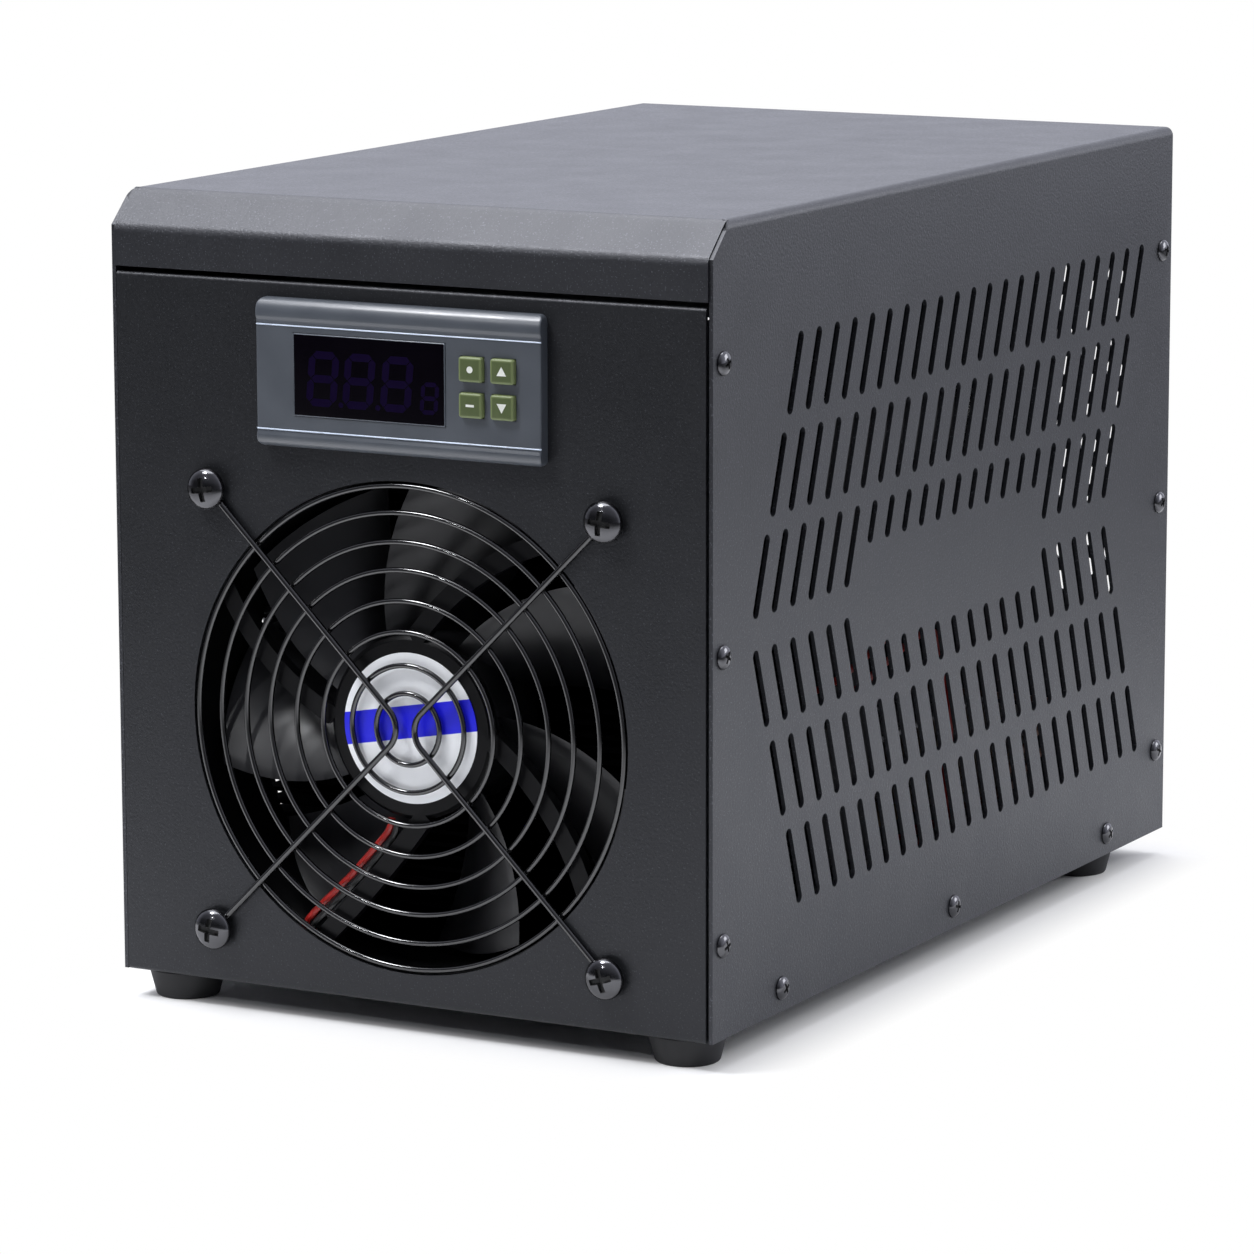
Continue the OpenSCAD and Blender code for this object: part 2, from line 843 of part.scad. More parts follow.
// A support wire: two straight legs from two screws to a round bend near the middle
module support_wire() {
    s = fan_holes / 2;
    r = leg_bend_r;
    reach = s - leg_gap / 2 - r;
    lean = acos(r / norm([s, reach])) - atan2(reach, s);
    bend = [-leg_gap / 2 - r, 0];
    start = bend + r * [sin(lean), cos(lean)];
    stop = eye_r();
    long = norm([-s, s] - start) - stop;
    for (side = [1, -1]) scale([1, side, 1])
        translate([start[0], start[1], 0]) rotate([0, -90, 0]) rotate([-lean, 0, 0])
            translate([0, 0, -weld]) cylinder(d = leg_wire, h = long + weld);
    translate([bend[0], bend[1], 0]) rotate(lean - 90)
        rotate_extrude(angle = 180 - 2 * lean) translate([r, 0]) circle(d = leg_wire);
    for (side = [1, -1]) translate([-s, side * s, 0])
        rotate_extrude() translate([stop, 0]) circle(d = leg_wire);
}

function eye_r() = m4_r + eye_gap + leg_wire / 2;

module fan_guard() {
    leg_z = leg_wire / 2;
    ring_z = leg_z + weld - (leg_wire + ring_wire) / 2;
    color("#101012") on_front(0, fan_z) {
        for (share = ring_shares) translate([0, 0, ring_z])
            rotate_extrude() translate([share * guard_d / 2, 0]) circle(d = ring_wire);
        translate([0, 0, leg_z]) {
            support_wire();
            mirror([1, 0, 0]) support_wire();
        }
    }
}

module guard_screws() {
    color("#1a1a1e") on_front() fan_screw_marks() translate([0, 0, leg_wire])
        dome_screw(dome_d / 2, dome_h, m4_r, guard_screw_l + leg_wire);
}

module guard_nuts() {
    color("silver") on_front() fan_screw_marks()
        translate([0, 0, -fan_front - fan_t - nut4_h])
            hex_nut(nut4_r, nut4_h, m4_r + thread_gap);
}

// Fan

// Puts the fan's parts behind the panel, z towards the viewer, nought on its front face
module in_fan() {
    on_front(0, fan_z) translate([0, 0, -fan_front]) children();
}

// A curved bar between two points, bowed to its left by a sag
module bow(a, b, sag, w) {
    half = norm(b - a) / 2;
    r = (half * half + sag * sag) / (2 * sag);
    turn = atan2(b[1] - a[1], b[0] - a[0]);
    translate((a + b) / 2) rotate(turn) intersection() {
        translate([0, sag - r]) difference() {
            circle(r + w / 2);
            circle(r - w / 2);
        }
        translate([-half, -2 * w]) square([2 * half, 4 * w + sag]);
    }
}

module struts() {
    inner = motor_d / 2 - motor_chamfer;
    outer = fan_bore_d / 2 + barrel_wall / 2;
    for (k = [0:len(strut_rim_angles) - 1]) {
        a = strut_hub_angles[k];
        b = strut_rim_angles[k];
        bow(inner * [cos(a), sin(a)], outer * [cos(b), sin(b)], strut_sags[k], strut_w);
    }
}

module fan_frame() {
    r = motor_d / 2;
    tube_l = fan_t - motor_back - motor_t - cup_end - cup_back - boss_t - cup_gap;
    color("#1b1b1e") in_fan() difference() {
        union() {
            difference() {
                union() {
                    for (z = [-fan_flange, -fan_t]) translate([0, 0, z])
                        linear_extrude(fan_flange) round_square(fan_w, fan_w, fan_corner);
                    translate([0, 0, -fan_t])
                        cylinder(r = fan_bore_d / 2 + barrel_wall, h = fan_t);
                    four_corners(fan_holes / 2, fan_holes / 2)
                        translate([0, 0, -fan_t]) cylinder(r = sleeve_r, h = fan_t);
                }
                translate([0, 0, -fan_t - over])
                    cylinder(d = fan_bore_d, h = fan_t + 2 * over);
            }
            translate([0, 0, -motor_back - strut_t]) linear_extrude(strut_t) struts();
            translate([0, 0, -motor_back - motor_t]) rotate_extrude()
                polygon([[0, 0], [r, 0], [r, motor_t - motor_chamfer],
                    [r - motor_chamfer, motor_t], [0, motor_t]]);
            translate([0, 0, -motor_back - motor_t - tube_l])
                cylinder(r = tube_r, h = tube_l + motor_t / 2);
        }
        four_corners(fan_holes / 2, fan_holes / 2) translate([0, 0, -fan_t - over])
            cylinder(r = fan_hole_r, h = fan_t + 2 * over);
        translate([0, 0, -motor_back - motor_t - tube_l - over])
            cylinder(r = bearing_r + thread_gap, h = tube_l + over);
        // Notch through which the leads leave the bore
        rotate(lead_notch_angle)
            translate([fan_bore_d / 2 - barrel_wall, -lead_notch_w / 2, -lead_notch_t])
                cube([fan_w / 4, lead_notch_w, lead_notch_t + over]);
    }
}

function bearing_low() = -fan_t + cup_end + cup_back + boss_t + cup_gap;

module fan_bearings() {
    color("silver") in_fan() for (z = [-motor_back - motor_t - bearing_t, bearing_low()])
        translate([0, 0, z]) tube(bearing_r, shaft_d / 2 + run_gap, bearing_t);
}

module fan_stator() {
    color("#8a4b22") in_fan() translate([0, 0, -motor_back - motor_t - seat_gap - core_t])
        linear_extrude(core_t) difference() {
            union() {
                circle(core_r / 2);
                for (turn = [0, 90]) rotate(turn)
                    square([2 * core_r - tooth_w, tooth_w], center = true);
                difference() {
                    circle(core_r);
                    circle(core_r - tooth_w / 2);
                    for (turn = [45, 135]) rotate(turn)
                        square([3 * core_r, tooth_w / 2], center = true);
                }
            }
            circle(tube_r + thread_gap);
        }
}

module fan_label() {
    color("white") in_fan() translate([0, 0, -motor_back]) cylinder(d = label_d, h = label_t);
}

// A blade's middle surface: angle and height for a share of its span and of its chord
function blade_spot(span, chord) =
    let (root = cup_r - blade_root, tip = fan_bore_d / 2 - blade_tip_gap,
        r = root + (tip - root) * span,
        turn = blade_hub_turn + (blade_tip_turn - blade_hub_turn) * span,
        a = -blade_sweep * span - turn * chord,
        drop = fan_t - motor_back - strut_t - blade_front - blade_end)
    [r * cos(a), r * sin(a), -drop * chord + blade_cup * sin(180 * chord)];
function blade_normal(s, c) =
    let (e = 0.01, along = blade_spot(s + e, c) - blade_spot(s - e, c),
        over_c = blade_spot(s, c + e) - blade_spot(s, c - e))
    unit(cross(along, over_c));

module blade() {
    n = blade_steps;
    m = chord_steps;
    row = m + 1;
    spots = [for (side = [1, -1], i = [0:n], j = [0:m])
        let (taper = 0.35 + 0.65 * sin(180 * j / m))
        blade_spot(i / n, j / m) + side * blade_t / 2 * taper * blade_normal(i / n, j / m)];
    half = (n + 1) * row;
    top = [for (i = [0:n - 1], j = [0:m - 1])
        let (a = i * row + j, b = a + row) each [[a, a + 1, b], [b, a + 1, b + 1]]];
    low = [for (f = top) [f[0] + half, f[2] + half, f[1] + half]];
    rim = concat([for (i = [0:n]) i * row + m], [for (j = [m - 1:-1:0]) n * row + j],
        [for (i = [n - 1:-1:0]) i * row], [for (j = [1:m - 1]) j]);
    count = len(rim);
    edge = [for (k = [0:count - 1]) let (a = rim[k], b = rim[(k + 1) % count])
        each [[b, a, a + half], [b, a + half, b + half]]];
    polyhedron(spots, concat(top, low, edge));
}

module fan_rotor() {
    front = motor_back + motor_t + cup_gap;
    back = fan_t - cup_end;
    blade_z = -(motor_back + strut_t + blade_front);
    color("#17171a") in_fan() {
        difference() {
            union() {
                difference() {
                    translate([0, 0, -back]) cylinder(r = cup_r, h = back - front);
                    translate([0, 0, -back + cup_back])
                        cylinder(r = cup_r - cup_wall, h = back);
                }
                translate([0, 0, -back]) cylinder(r = boss_r, h = cup_back + boss_t);
            }
            translate([0, 0, -back - over])
                cylinder(r = shaft_d / 2 + thread_gap / 2, h = cup_back + boss_t + 2 * over);
        }
        for (k = [0:blade_n - 1]) rotate(blade_phase + 360 * k / blade_n)
            translate([0, 0, blade_z]) blade();
    }
}

module fan_magnet() {
    r = cup_r - cup_wall - thread_gap;
    z = fan_t - cup_end - cup_back - magnet_in;
    color("#3a3a3a") in_fan() translate([0, 0, -z]) tube(r, r - magnet_t, core_t + magnet_in);
}

module fan_shaft() {
    back = fan_t - cup_end;
    front = motor_back + motor_t + seat_gap;
    color("silver") in_fan() translate([0, 0, -back]) cylinder(d = shaft_d, h = back - front);
}

// Leads of the fan, beside a strut, out at the notch and back along the floor
function fan_route(a) = let (f = fan_front + motor_back + strut_t / 2, z0 = fan_z,
        s = supply_front, r = supply_right)
    [[-6.4 + a, f + 0.4, z0 - 22 - a], [-7.2 + a, f, z0 - 25.2 - a],
     [-12 + a, f - 0.4, z0 - 31 - a], [-17.5 + a, f - 0.6, z0 - 37.1 - a],
     [-23.4 + a, f - 0.6, z0 - 42.8 - a], [-28.4 + a, f - 0.9, z0 - 48 - a],
     [-30.6 + 1.4 * a, f - 0.9, z0 - 52.6 - a / 2], [-32.6 + 1.4 * a, f - 0.9, z0 - 57.4],
     [-34 + 1.4 * a, f - 0.4, z0 - 61], [-34.6 + 1.4 * a, f + 3, 3.2],
     [-34.4 + 1.4 * a, f + 9, 2.9], [-30 + 1.4 * a, sink_front + 10, 2.6],
     [-29 + 1.4 * a, plate_back - 10, 2.6], [-29 + 1.4 * a, plate_back + 10, 2.6],
     [-27 + 1.4 * a, s - 8 - 1.4 * a, 2.6], [-20 + a, s - 4.5 - 1.4 * a, 2.6],
     [20, s - 4.5 - 1.4 * a, 2.6], [r - 5, s - 4.5 - 1.4 * a, 2.8],
     [r + 4 + a, s - 3 - a, 5], [r + 8 + 1.2 * a, s + 8, 12], [r + 6 + a, s + 19 + a, lug_top + 4],
     [r + a, s + 21.5 + 2 * a, lug_top + 1.8], [r - 5, s + 22 + 2 * a, lug_top + 0.9]];

module fan_lead_red() {
    color("#c8281e") inside(0, 0, 0) wire(fan_route(0), fan_lead_d);
}

module fan_lead_black() {
    color("#141414") inside(0, 0, 0) wire(fan_route(1.35), fan_lead_d);
}

// Thermostat

module bezel_outline() {
    h = bezel_h / 2;
    difference() {
        polygon([[0, -h], [rail_edge, -h], [bezel_t, rail_low - h], [bezel_t, h - rail_top],
            [rail_edge, h], [0, h]]);
        for (z = [groove_low - h, h - groove_top]) translate([bezel_t, z])
            square([2 * groove, groove], center = true);
    }
}

module key_marks() {
    for (spot = key_spots) translate([key_right + spot[0] * key_pitch / 2,
        spot[1] * key_pitch / 2, 0]) children();
}

module bezel() {
    color("#4b5058") on_front(0, bezel_z) difference() {
        intersection() {
            translate([-bezel_w / 2, 0, 0]) rotate([90, 0, 90]) rotate([0, 0, 90])
                mirror([0, 1, 0]) linear_extrude(bezel_w) bezel_outline();
            linear_extrude(bezel_t) round_square(bezel_w, bezel_h, bezel_round);
        }
        // Window with a ledge behind it, and the openings of the keys
        translate([-window_left, 0, bezel_t - window_in - window_t]) linear_extrude(bezel_t)
            square([window_w, window_h], center = true);
        translate([-window_left, 0, -over]) linear_extrude(bezel_t + over)
            square([window_w - 2 * ledge, window_h - 2 * ledge], center = true);
        translate([0, 0, -over]) key_marks() linear_extrude(bezel_t + 2 * over)
            square([key_w + 2 * key_gap, key_h + 2 * key_gap], center = true);
    }
}

module display_window() {
    color("#0c0a14") on_front(-window_left, bezel_z)
        translate([0, 0, bezel_t - window_in - window_t]) linear_extrude(window_t)
            square([window_w - 2 * seat_gap, window_h - 2 * seat_gap], center = true);
}

module display_digits() {
    high = bezel_t - window_in - window_t - seat_gap;
    color("#17121f") on_front(-window_left, bezel_z) translate([0, 0, -board_z])
        linear_extrude(board_z + high) square([digits_w, digits_h], center = true);
}

module control_board() {
    color("#1d5a34") on_front(0, bezel_z) translate([0, 0, -board_z - board_t])
        linear_extrude(board_t) square([stat_w - 2 * (stat_wall + seat_gap),
            stat_h - 2 * (stat_wall + seat_gap)], center = true);
}

function key_back() = key_flange_back + key_flange_t;

module key_switches() {
    top = board_z - key_back() - key_travel - plunger_gap;
    color("#222222") on_front(0, bezel_z) translate([0, 0, -board_z]) key_marks() {
        linear_extrude(top - plunger_t) square(switch_side, center = true);
        cylinder(r = plunger_r, h = top);
    }
}

module key(column, row) {
    stem = bezel_t + key_proud + key_back();
    x = key_right + column * key_pitch / 2;
    z = bezel_z + row * key_pitch / 2;
    color("#74804f") on_front(x, z) translate([0, 0, -key_back()]) {
        linear_extrude(stem) round_square(key_w, key_h, key_round);
        linear_extrude(key_flange_t)
            square([key_w + 2 * key_flange, key_h + 2 * key_flange], center = true);
    }
}

module key_set() { key(-1, 1); }
module key_reset() { key(-1, -1); }
module key_up() { key(1, 1); }
module key_down() { key(1, -1); }

module control_case() {
    color("#202022") on_front(0, bezel_z) translate([0, 0, -stat_d]) difference() {
        linear_extrude(stat_d) square([stat_w, stat_h], center = true);
        translate([0, 0, stat_wall]) linear_extrude(stat_d)
            square([stat_w - 2 * stat_wall, stat_h - 2 * stat_wall], center = true);
    }
}

module control_clips() {
    color("#d9822b") both_sides() on_front(stat_w / 2 + seat_gap, bezel_z)
        translate([0, -clip_h / 2, -tray_t - clip_d]) {
            cube([clip_pad, clip_h, clip_d]);
            translate([0, 0, clip_d - clip_pad]) cube([clip_t, clip_h, clip_pad]);
        }
}

module terminal_row(w, h, d, poles) {
    step = w / poles;
    difference() {
        cube([w, h, d]);
        for (k = [0:poles - 1]) translate([(k + 0.5) * step, h / 2, d - terminal_screw_r])
            cylinder(r = terminal_screw_r, h = d);
    }
}

module control_terminals() {
    color("#2f6f43") on_front(-terminal_w / 2, bezel_z)
        translate([0, -terminal_h / 2, -stat_d]) mirror([0, 0, 1])
            terminal_row(terminal_w, terminal_h, terminal_d, terminal_poles);
}

// Cooling core

module heat_sink() {
    fins = floor((sink_h - fin_t) / fin_pitch);
    color("#a9adb3") difference() {
        across(-sink_w / 2, sink_w) {
            translate([sink_front + fin_d, sink_low]) square([plate_t, sink_h]);
            for (k = [0:fins]) translate([sink_front, sink_low + k * fin_pitch])
                square([fin_d + fin_t, fin_t]);
        }
        block_bolt_marks() translate([0, 0, -plate_t - module_t + over])
            cylinder(r = m4_r + thread_gap, h = plate_t + module_t);
        bracket_plate_marks() translate([0, 0, -bracket_screw_l])
            cylinder(r = m3_r + thread_gap, h = bracket_screw_l + over);
    }
}

// Marks of the bolts on the front face of the water block, z backwards
module block_bolt_marks() {
    for (i = [-1, 1], j = [-1, 1]) inside(i * bolt_x, block_front, block_mid + j * bolt_z)
        rotate([-90, 0, 0]) children();
}

module bracket_plate_marks() {
    for (side = [-1, 1]) inside(side * bracket_x, plate_back, sink_low + bracket_hole)
        rotate([-90, 0, 0]) children();
}

module bracket_floor_marks() {
    for (side = [-1, 1]) inside(side * bracket_x, plate_back + bracket_hole, 0) children();
}

module sink_brackets() {
    t = tray_t;
    color("#8f949a") difference() {
        for (side = [-1, 1]) across(side * bracket_x - bracket_w / 2, bracket_w) {
            translate([plate_back, t]) square([bracket_t, sink_low + bracket_leg - t]);
            translate([plate_back, t]) square([bracket_leg, bracket_t]);
        }
        bracket_plate_marks() translate([0, 0, -over])
            cylinder(r = m3_r + hole_gap, h = bracket_t + 2 * over);
        bracket_floor_marks() cylinder(r = m3_r + hole_gap, h = bracket_leg / 2);
    }
}

module bracket_screws() {
    color("silver") {
        bracket_plate_marks() translate([0, 0, bracket_t])
            dome_screw(pan_r, pan_h, m3_r, pan_l + bracket_t / 2);
        bracket_floor_marks() translate([0, 0, tray_t + bracket_t])
            dome_screw(pan_r, pan_h, m3_r, bracket_t + tray_t);
    }
}

module module_marks() {
    for (i = [-1, 1], j = [-1, 1])
        inside(i * module_gap / 2, plate_back, block_mid + j * (module_gap - 4 * over) / 2)
            rotate([-90, 0, 0]) children();
}

module cooling_modules() {
    color("#e8e6df") module_marks() translate([-module_w / 2, -module_w / 2, 0])
        cube([module_w, module_w, module_t]);
}

// Marks of the water block's stubs on its back face, z backwards
module stub_marks() {
    for (side = [-1, 1]) inside(side * port_gap / 2, block_back, port_z)
        rotate([-90, 0, 0]) children();
}

module water_block() {
    bore = spigot_bore / 2;
    color("#b4b8bc") difference() {
        union() {
            inside(-block_w / 2, block_front, block_low) cube([block_w, block_t, block_h]);
            stub_marks() translate([0, 0, -over]) cylinder(d = spigot_d, h = stub_l + over);
        }
        block_bolt_marks() translate([0, 0, -over])
            cylinder(r = m4_r + hole_gap, h = block_t + 2 * over);
        stub_marks() translate([0, 0, -block_t / 2]) cylinder(r = bore, h = block_t + stub_l);
        // Channel down both sides and along the bottom
        for (side = [-1, 1]) inside(side * port_gap / 2, block_front + block_t / 2, block_low
            + module_w / 2) cylinder(r = channel_r, h = port_z - block_low - module_w / 2);
        inside(-port_gap / 2, block_front + block_t / 2, block_low + module_w / 2)
            rotate([0, 90, 0]) cylinder(r = channel_r, h = port_gap);
        probe_mark() translate([0, 0, -probe_l]) cylinder(r = probe_r + thread_gap,
            h = probe_l + over);
    }
}

module block_foam() {
    w = block_w + 2 * foam_side;
    h = block_h + 2 * foam_side;
    g = seat_gap;
    color("#1a1a1a") difference() {
        inside(-w / 2, plate_back + g, block_low - foam_side)
            cube([w, foam_back - plate_back - g, h]);
        inside(-block_w / 2 - g, block_front - g, block_low - g)
            cube([block_w + 2 * g, block_t + 2 * g, block_h + 2 * g]);
        module_marks() translate([-module_w / 2 - g, -module_w / 2 - g, 0])
            cube([module_w + 2 * g, module_w + 2 * g, module_t + over]);
        block_bolt_marks() translate([0, 0, -module_t - over])
            cylinder(r = bolt_head_r + hole_gap, h = 2 * block_t + foam_t + module_t);
        stub_marks() cylinder(r = spigot_d / 2 + hose_wall + hole_gap, h = 2 * foam_t + over);
        probe_mark() cylinder(r = probe_r + hole_gap, h = 2 * foam_side);
        // Groove for the leads of the modules
        inside(module_gap / 2 + module_w / 2 - over, plate_back, lead_z() - 1.5 * lead_d)
            cube([w, module_t + 2 * lead_d, 7 * lead_d]);
        // Room for the brackets and their screws
        for (side = [-1, 1]) inside(side * bracket_x - bracket_w / 2 - over, plate_back - over,
            0) cube([bracket_w + 2 * over, foam_back, sink_low + bracket_leg + hole_gap]);
    }
}

module block_bolts() {
    color("silver") block_bolt_marks() translate([0, 0, block_t])
        dome_screw(bolt_head_r, bolt_head_h, m4_r, bolt_l);
}

// Water ports

module port(side) {
    bore = spigot_bore / 2;
    r = spigot_d / 2;
    in_l = tray_t + port_in_l + port_thread_l;
    color("#1c1d20") on_rear(side * port_gap / 2, port_z) rotate_extrude() difference() {
        union() {
            square([port_flange_r, port_flange_t]);
            square([r, spigot_l - port_tip]);
            polygon([[0, spigot_l - port_tip], [r, spigot_l - port_tip],
                [r - port_tip / 2, spigot_l], [0, spigot_l]]);
            translate([0, -tray_t - washer_t - port_thread_l])
                square([port_thread_r, port_thread_l + washer_t + tray_t + over]);
            translate([0, -in_l]) square([r, in_l]);
        }
        translate([-over, -in_l - over]) square([bore + over, in_l + spigot_l + 2 * over]);
    }
}

module water_inlet() { port(1); }
module water_outlet() { port(-1); }

module on_ports() {
    for (side = [-1, 1]) on_rear(side * port_gap / 2, port_z) children();
}

module port_washers() {
    color("#101010") on_ports() translate([0, 0, -tray_t - washer_t])
        tube(washer_r, port_thread_r + thread_gap, washer_t);
}

module port_nuts() {
    color("#1c1d20") on_ports() translate([0, 0, -tray_t - washer_t - port_nut_t])
        hex_nut(port_nut_r, port_nut_t, port_thread_r + thread_gap);
}

module inner_hoses() {
    r = spigot_d / 2;
    start = block_back + over / 2;
    stop = case_d - tray_t - washer_t - port_thread_l - over / 2;
    color("#2a2b2d") for (side = [-1, 1]) inside(side * port_gap / 2, start, port_z)
        rotate([-90, 0, 0]) tube(r + hose_wall, r + thread_gap, stop - start);
}

module hose_clips() {
    r = spigot_d / 2 + hose_wall + thread_gap;
    rear = case_d - tray_t - washer_t - port_thread_l - clip_in - clip_wide;
    color("silver") for (side = [-1, 1], y = [foam_back + over, rear])
        inside(side * port_gap / 2, y, port_z) rotate([-90, 0, 0]) {
            tube(r + clip_ring, r, clip_wide);
            for (ear = [-1, 1]) translate([ear * clip_ring - clip_ring / 2,
                -r - clip_ring / 2 - clip_ear, 0]) cube([clip_ring, clip_ear, clip_wide]);
        }
}

// The mark of the probe's pocket on top of the water block
module probe_mark() {
    inside(0, block_front + block_t / 2, block_low + block_h) children();
}

function probe_route() = let (z = block_low + block_h + foam_side)
    [[0, block_front + block_t / 2, z - 3], [0, block_front + block_t / 2, z + 2],
     [0, block_front + 2, z + 8], [0, stat_d + terminal_d + 4, bezel_z - 8],
     [0, stat_d + terminal_d + 2.5, bezel_z - 2], [0, stat_d + terminal_d + 0.6, bezel_z]];

module temperature_probe() {
    color("silver") probe_mark() translate([0, 0, -probe_l + seat_gap])
        cylinder(r = probe_r, h = probe_l + foam_side - 2 * over);
    color("#141414") inside(0, 0, 0) wire(probe_route(), 2 * lead_d);
}

// Power supply

module in_supply() {
    inside(supply_x - supply_l / 2, supply_front, tray_t + supply_rise) children();
}

module supply_case() {
    w = supply_wall;
    color("#b9bcc0") in_supply() difference() {
        cube([supply_l, supply_d, supply_h - w]);
        translate([w, w, w]) cube([supply_l, supply_d - 2 * w, supply_h]);
        // Open end above the terminals
        translate([supply_l - w - over, w, w + lug_h]) cube([w + 2 * over, supply_d - 2 * w,
            supply_h]);
    }
}

module supply_lid() {
    w = supply_wall;
    x0 = (supply_l - supply_end - (lid_columns - 1) * lid_pitch) / 2;
    y0 = (supply_d - (lid_rows - 1) * lid_pitch) / 2;
    color("#b9bcc0") in_supply() translate([0, 0, supply_h - w]) linear_extrude(w)
        difference() {
            square([supply_l - supply_end, supply_d]);
            for (i = [0:lid_columns - 1], j = [0:lid_rows - 1])
                translate([x0 + i * lid_pitch, y0 + j * lid_pitch]) circle(d = lid_hole);
        }
}

module supply_board() {
    w = supply_wall;
    margin = 2 * w;
    floor_z = w + board_rise;
    color("#7a6a3a") in_supply() {
        translate([margin, margin, floor_z])
            cube([supply_l - supply_end - 2 * margin, supply_d - 2 * margin, w]);
        // Four posts carry the board; the transformer and two capacitors stand on it
        for (i = [0, 1], j = [0, 1])
            translate([2 * margin + i * (supply_l - supply_end - 4 * margin),
                2 * margin + j * (supply_d - 4 * margin), w]) cylinder(r = margin, h = board_rise);
        translate([supply_l / 2 - coil_w / 2, supply_d / 2 - coil_w / 2, floor_z + w])
            cube([coil_w, coil_w, coil_h]);
        for (j = [-1, 1]) translate([supply_l / 5, supply_d / 2 + j * 1.4 * can_r, floor_z + w])
            cylinder(r = can_r, h = can_h);
    }
}

module supply_terminals() {
    w = supply_wall;
    color("#1d1d1f") in_supply()
        translate([supply_l - supply_end + seat_gap, (supply_d - lug_d) / 2, w])
            translate([supply_end - seat_gap, 0, 0]) rotate([0, 0, 90])
                terminal_row(lug_d, supply_end - seat_gap, lug_h, lug_poles);
}

// Mains inlet and switch

module inlet_cut() {
    w = inlet_mouth_w / 2;
    h = inlet_mouth_h / 2;
    c = inlet_corner;
    polygon([[-w, -h], [w, -h], [w, h - c], [w - c, h], [c - w, h], [-w, h - c]]);
}

module inlet_hole_marks() {
    for (side = [-1, 1]) on_rear(inlet_x + side * inlet_holes / 2, mains_z) children();
}

module pin_spots() {
    translate([0, pin_drop]) children();
    for (side = [-1, 1]) translate([side * pin_side, -pin_drop]) children();
}

module mains_inlet() {
    color("#151516") difference() {
        on_rear(inlet_x, mains_z) difference() {
            union() {
                linear_extrude(inlet_flange_t) round_square(inlet_w, inlet_h, inlet_corner);
                translate([0, 0, -inlet_body_d]) linear_extrude(inlet_body_d + over)
                    square([inlet_body_w, inlet_body_h], center = true);
            }
            translate([0, 0, inlet_flange_t - inlet_mouth_d])
                linear_extrude(inlet_mouth_d + over) inlet_cut();
            translate([0, 0, -inlet_body_d - over]) linear_extrude(inlet_body_d)
                pin_spots() square([pin_w + thread_gap, pin_h + thread_gap], center = true);
        }
        inlet_hole_marks() {
            translate([0, 0, -over]) cylinder(r = inlet_hole_r, h = inlet_flange_t + 2 * over);
            translate([0, 0, inlet_flange_t - sink_head_h])
                cylinder(r1 = inlet_hole_r, r2 = sink_head_r + thread_gap, h = sink_head_h
                    + thread_gap);
        }
    }
}

module inlet_pins() {
    floor_z = inlet_flange_t - inlet_mouth_d;
    color("#c9cbd0") on_rear(inlet_x, mains_z)
        translate([0, 0, -inlet_body_d - pin_tail])
            linear_extrude(inlet_body_d + pin_tail + floor_z + pin_out) pin_spots()
                square([pin_w, pin_h], center = true);
}

module inlet_screws() {
    color("silver") inlet_hole_marks() difference() {
        union() {
            translate([0, 0, inlet_flange_t - sink_head_h])
                cylinder(r1 = m3_r, r2 = sink_head_r, h = sink_head_h);
            translate([0, 0, inlet_flange_t - inlet_screw_l])
                cylinder(r = m3_r, h = inlet_screw_l - sink_head_h + thread_gap);
        }
        translate([0, 0, inlet_flange_t]) cross_recess(sink_head_r, sink_head_h / 2);
    }
}

module switch_housing() {
    cut_r = rocker_r + rocker_wall_gap;
    color("#151516") on_rear(switch_x, mains_z) difference() {
        union() {
            linear_extrude(switch_flange_t) round_square(switch_w, switch_h, over);
            translate([0, 0, -switch_body_d]) linear_extrude(switch_body_d + over)
                square([switch_body_w, switch_body_h], center = true);
            // Two tabs at the back take the leads
            for (side = [-1, 1]) translate([0, side * switch_body_h / 4,
                -switch_body_d - pin_tail]) linear_extrude(pin_tail + over)
                    square([pin_h, pin_w / 2], center = true);
        }
        rocker_pivot() rotate([0, 90, 0]) {
            translate([0, 0, -rocker_w / 2 - slide_gap])
                cylinder(r = cut_r, h = rocker_w + 2 * slide_gap);
            translate([0, 0, -rocker_w / 2 - pivot_l - slide_gap])
                cylinder(r = pivot_r + run_gap, h = rocker_w + 2 * (pivot_l + slide_gap));
        }
        linear_extrude(switch_flange_t + over)
            square([rocker_w + 2 * slide_gap, 2 * cut_r], center = true);
    }
}

// The rocker's pivot lies just behind the flange's face
module rocker_pivot() {
    translate([0, 0, switch_flange_t - pivot_r - over]) children();
}

module switch_rocker() {
    half = rocker_turn / 2;
    color("#222224") on_rear(switch_x, mains_z) rocker_pivot() {
        rotate([half, 0, 0]) translate([-rocker_w / 2, 0, 0]) rotate([90, 0, 90])
            linear_extrude(rocker_w) intersection() {
                circle(rocker_r);
                polygon([[0, rocker_rise], [2 * rocker_r, rocker_rise + 2 * rocker_r * tan(half)],
                    [2 * rocker_r, -rocker_depth], [-2 * rocker_r, -rocker_depth],
                    [-2 * rocker_r, rocker_rise + 2 * rocker_r * tan(half)]]);
            }
        rotate([0, 90, 0]) translate([0, 0, -rocker_w / 2 - pivot_l])
            cylinder(r = pivot_r, h = rocker_w + 2 * pivot_l);
    }
}

// Inner leads

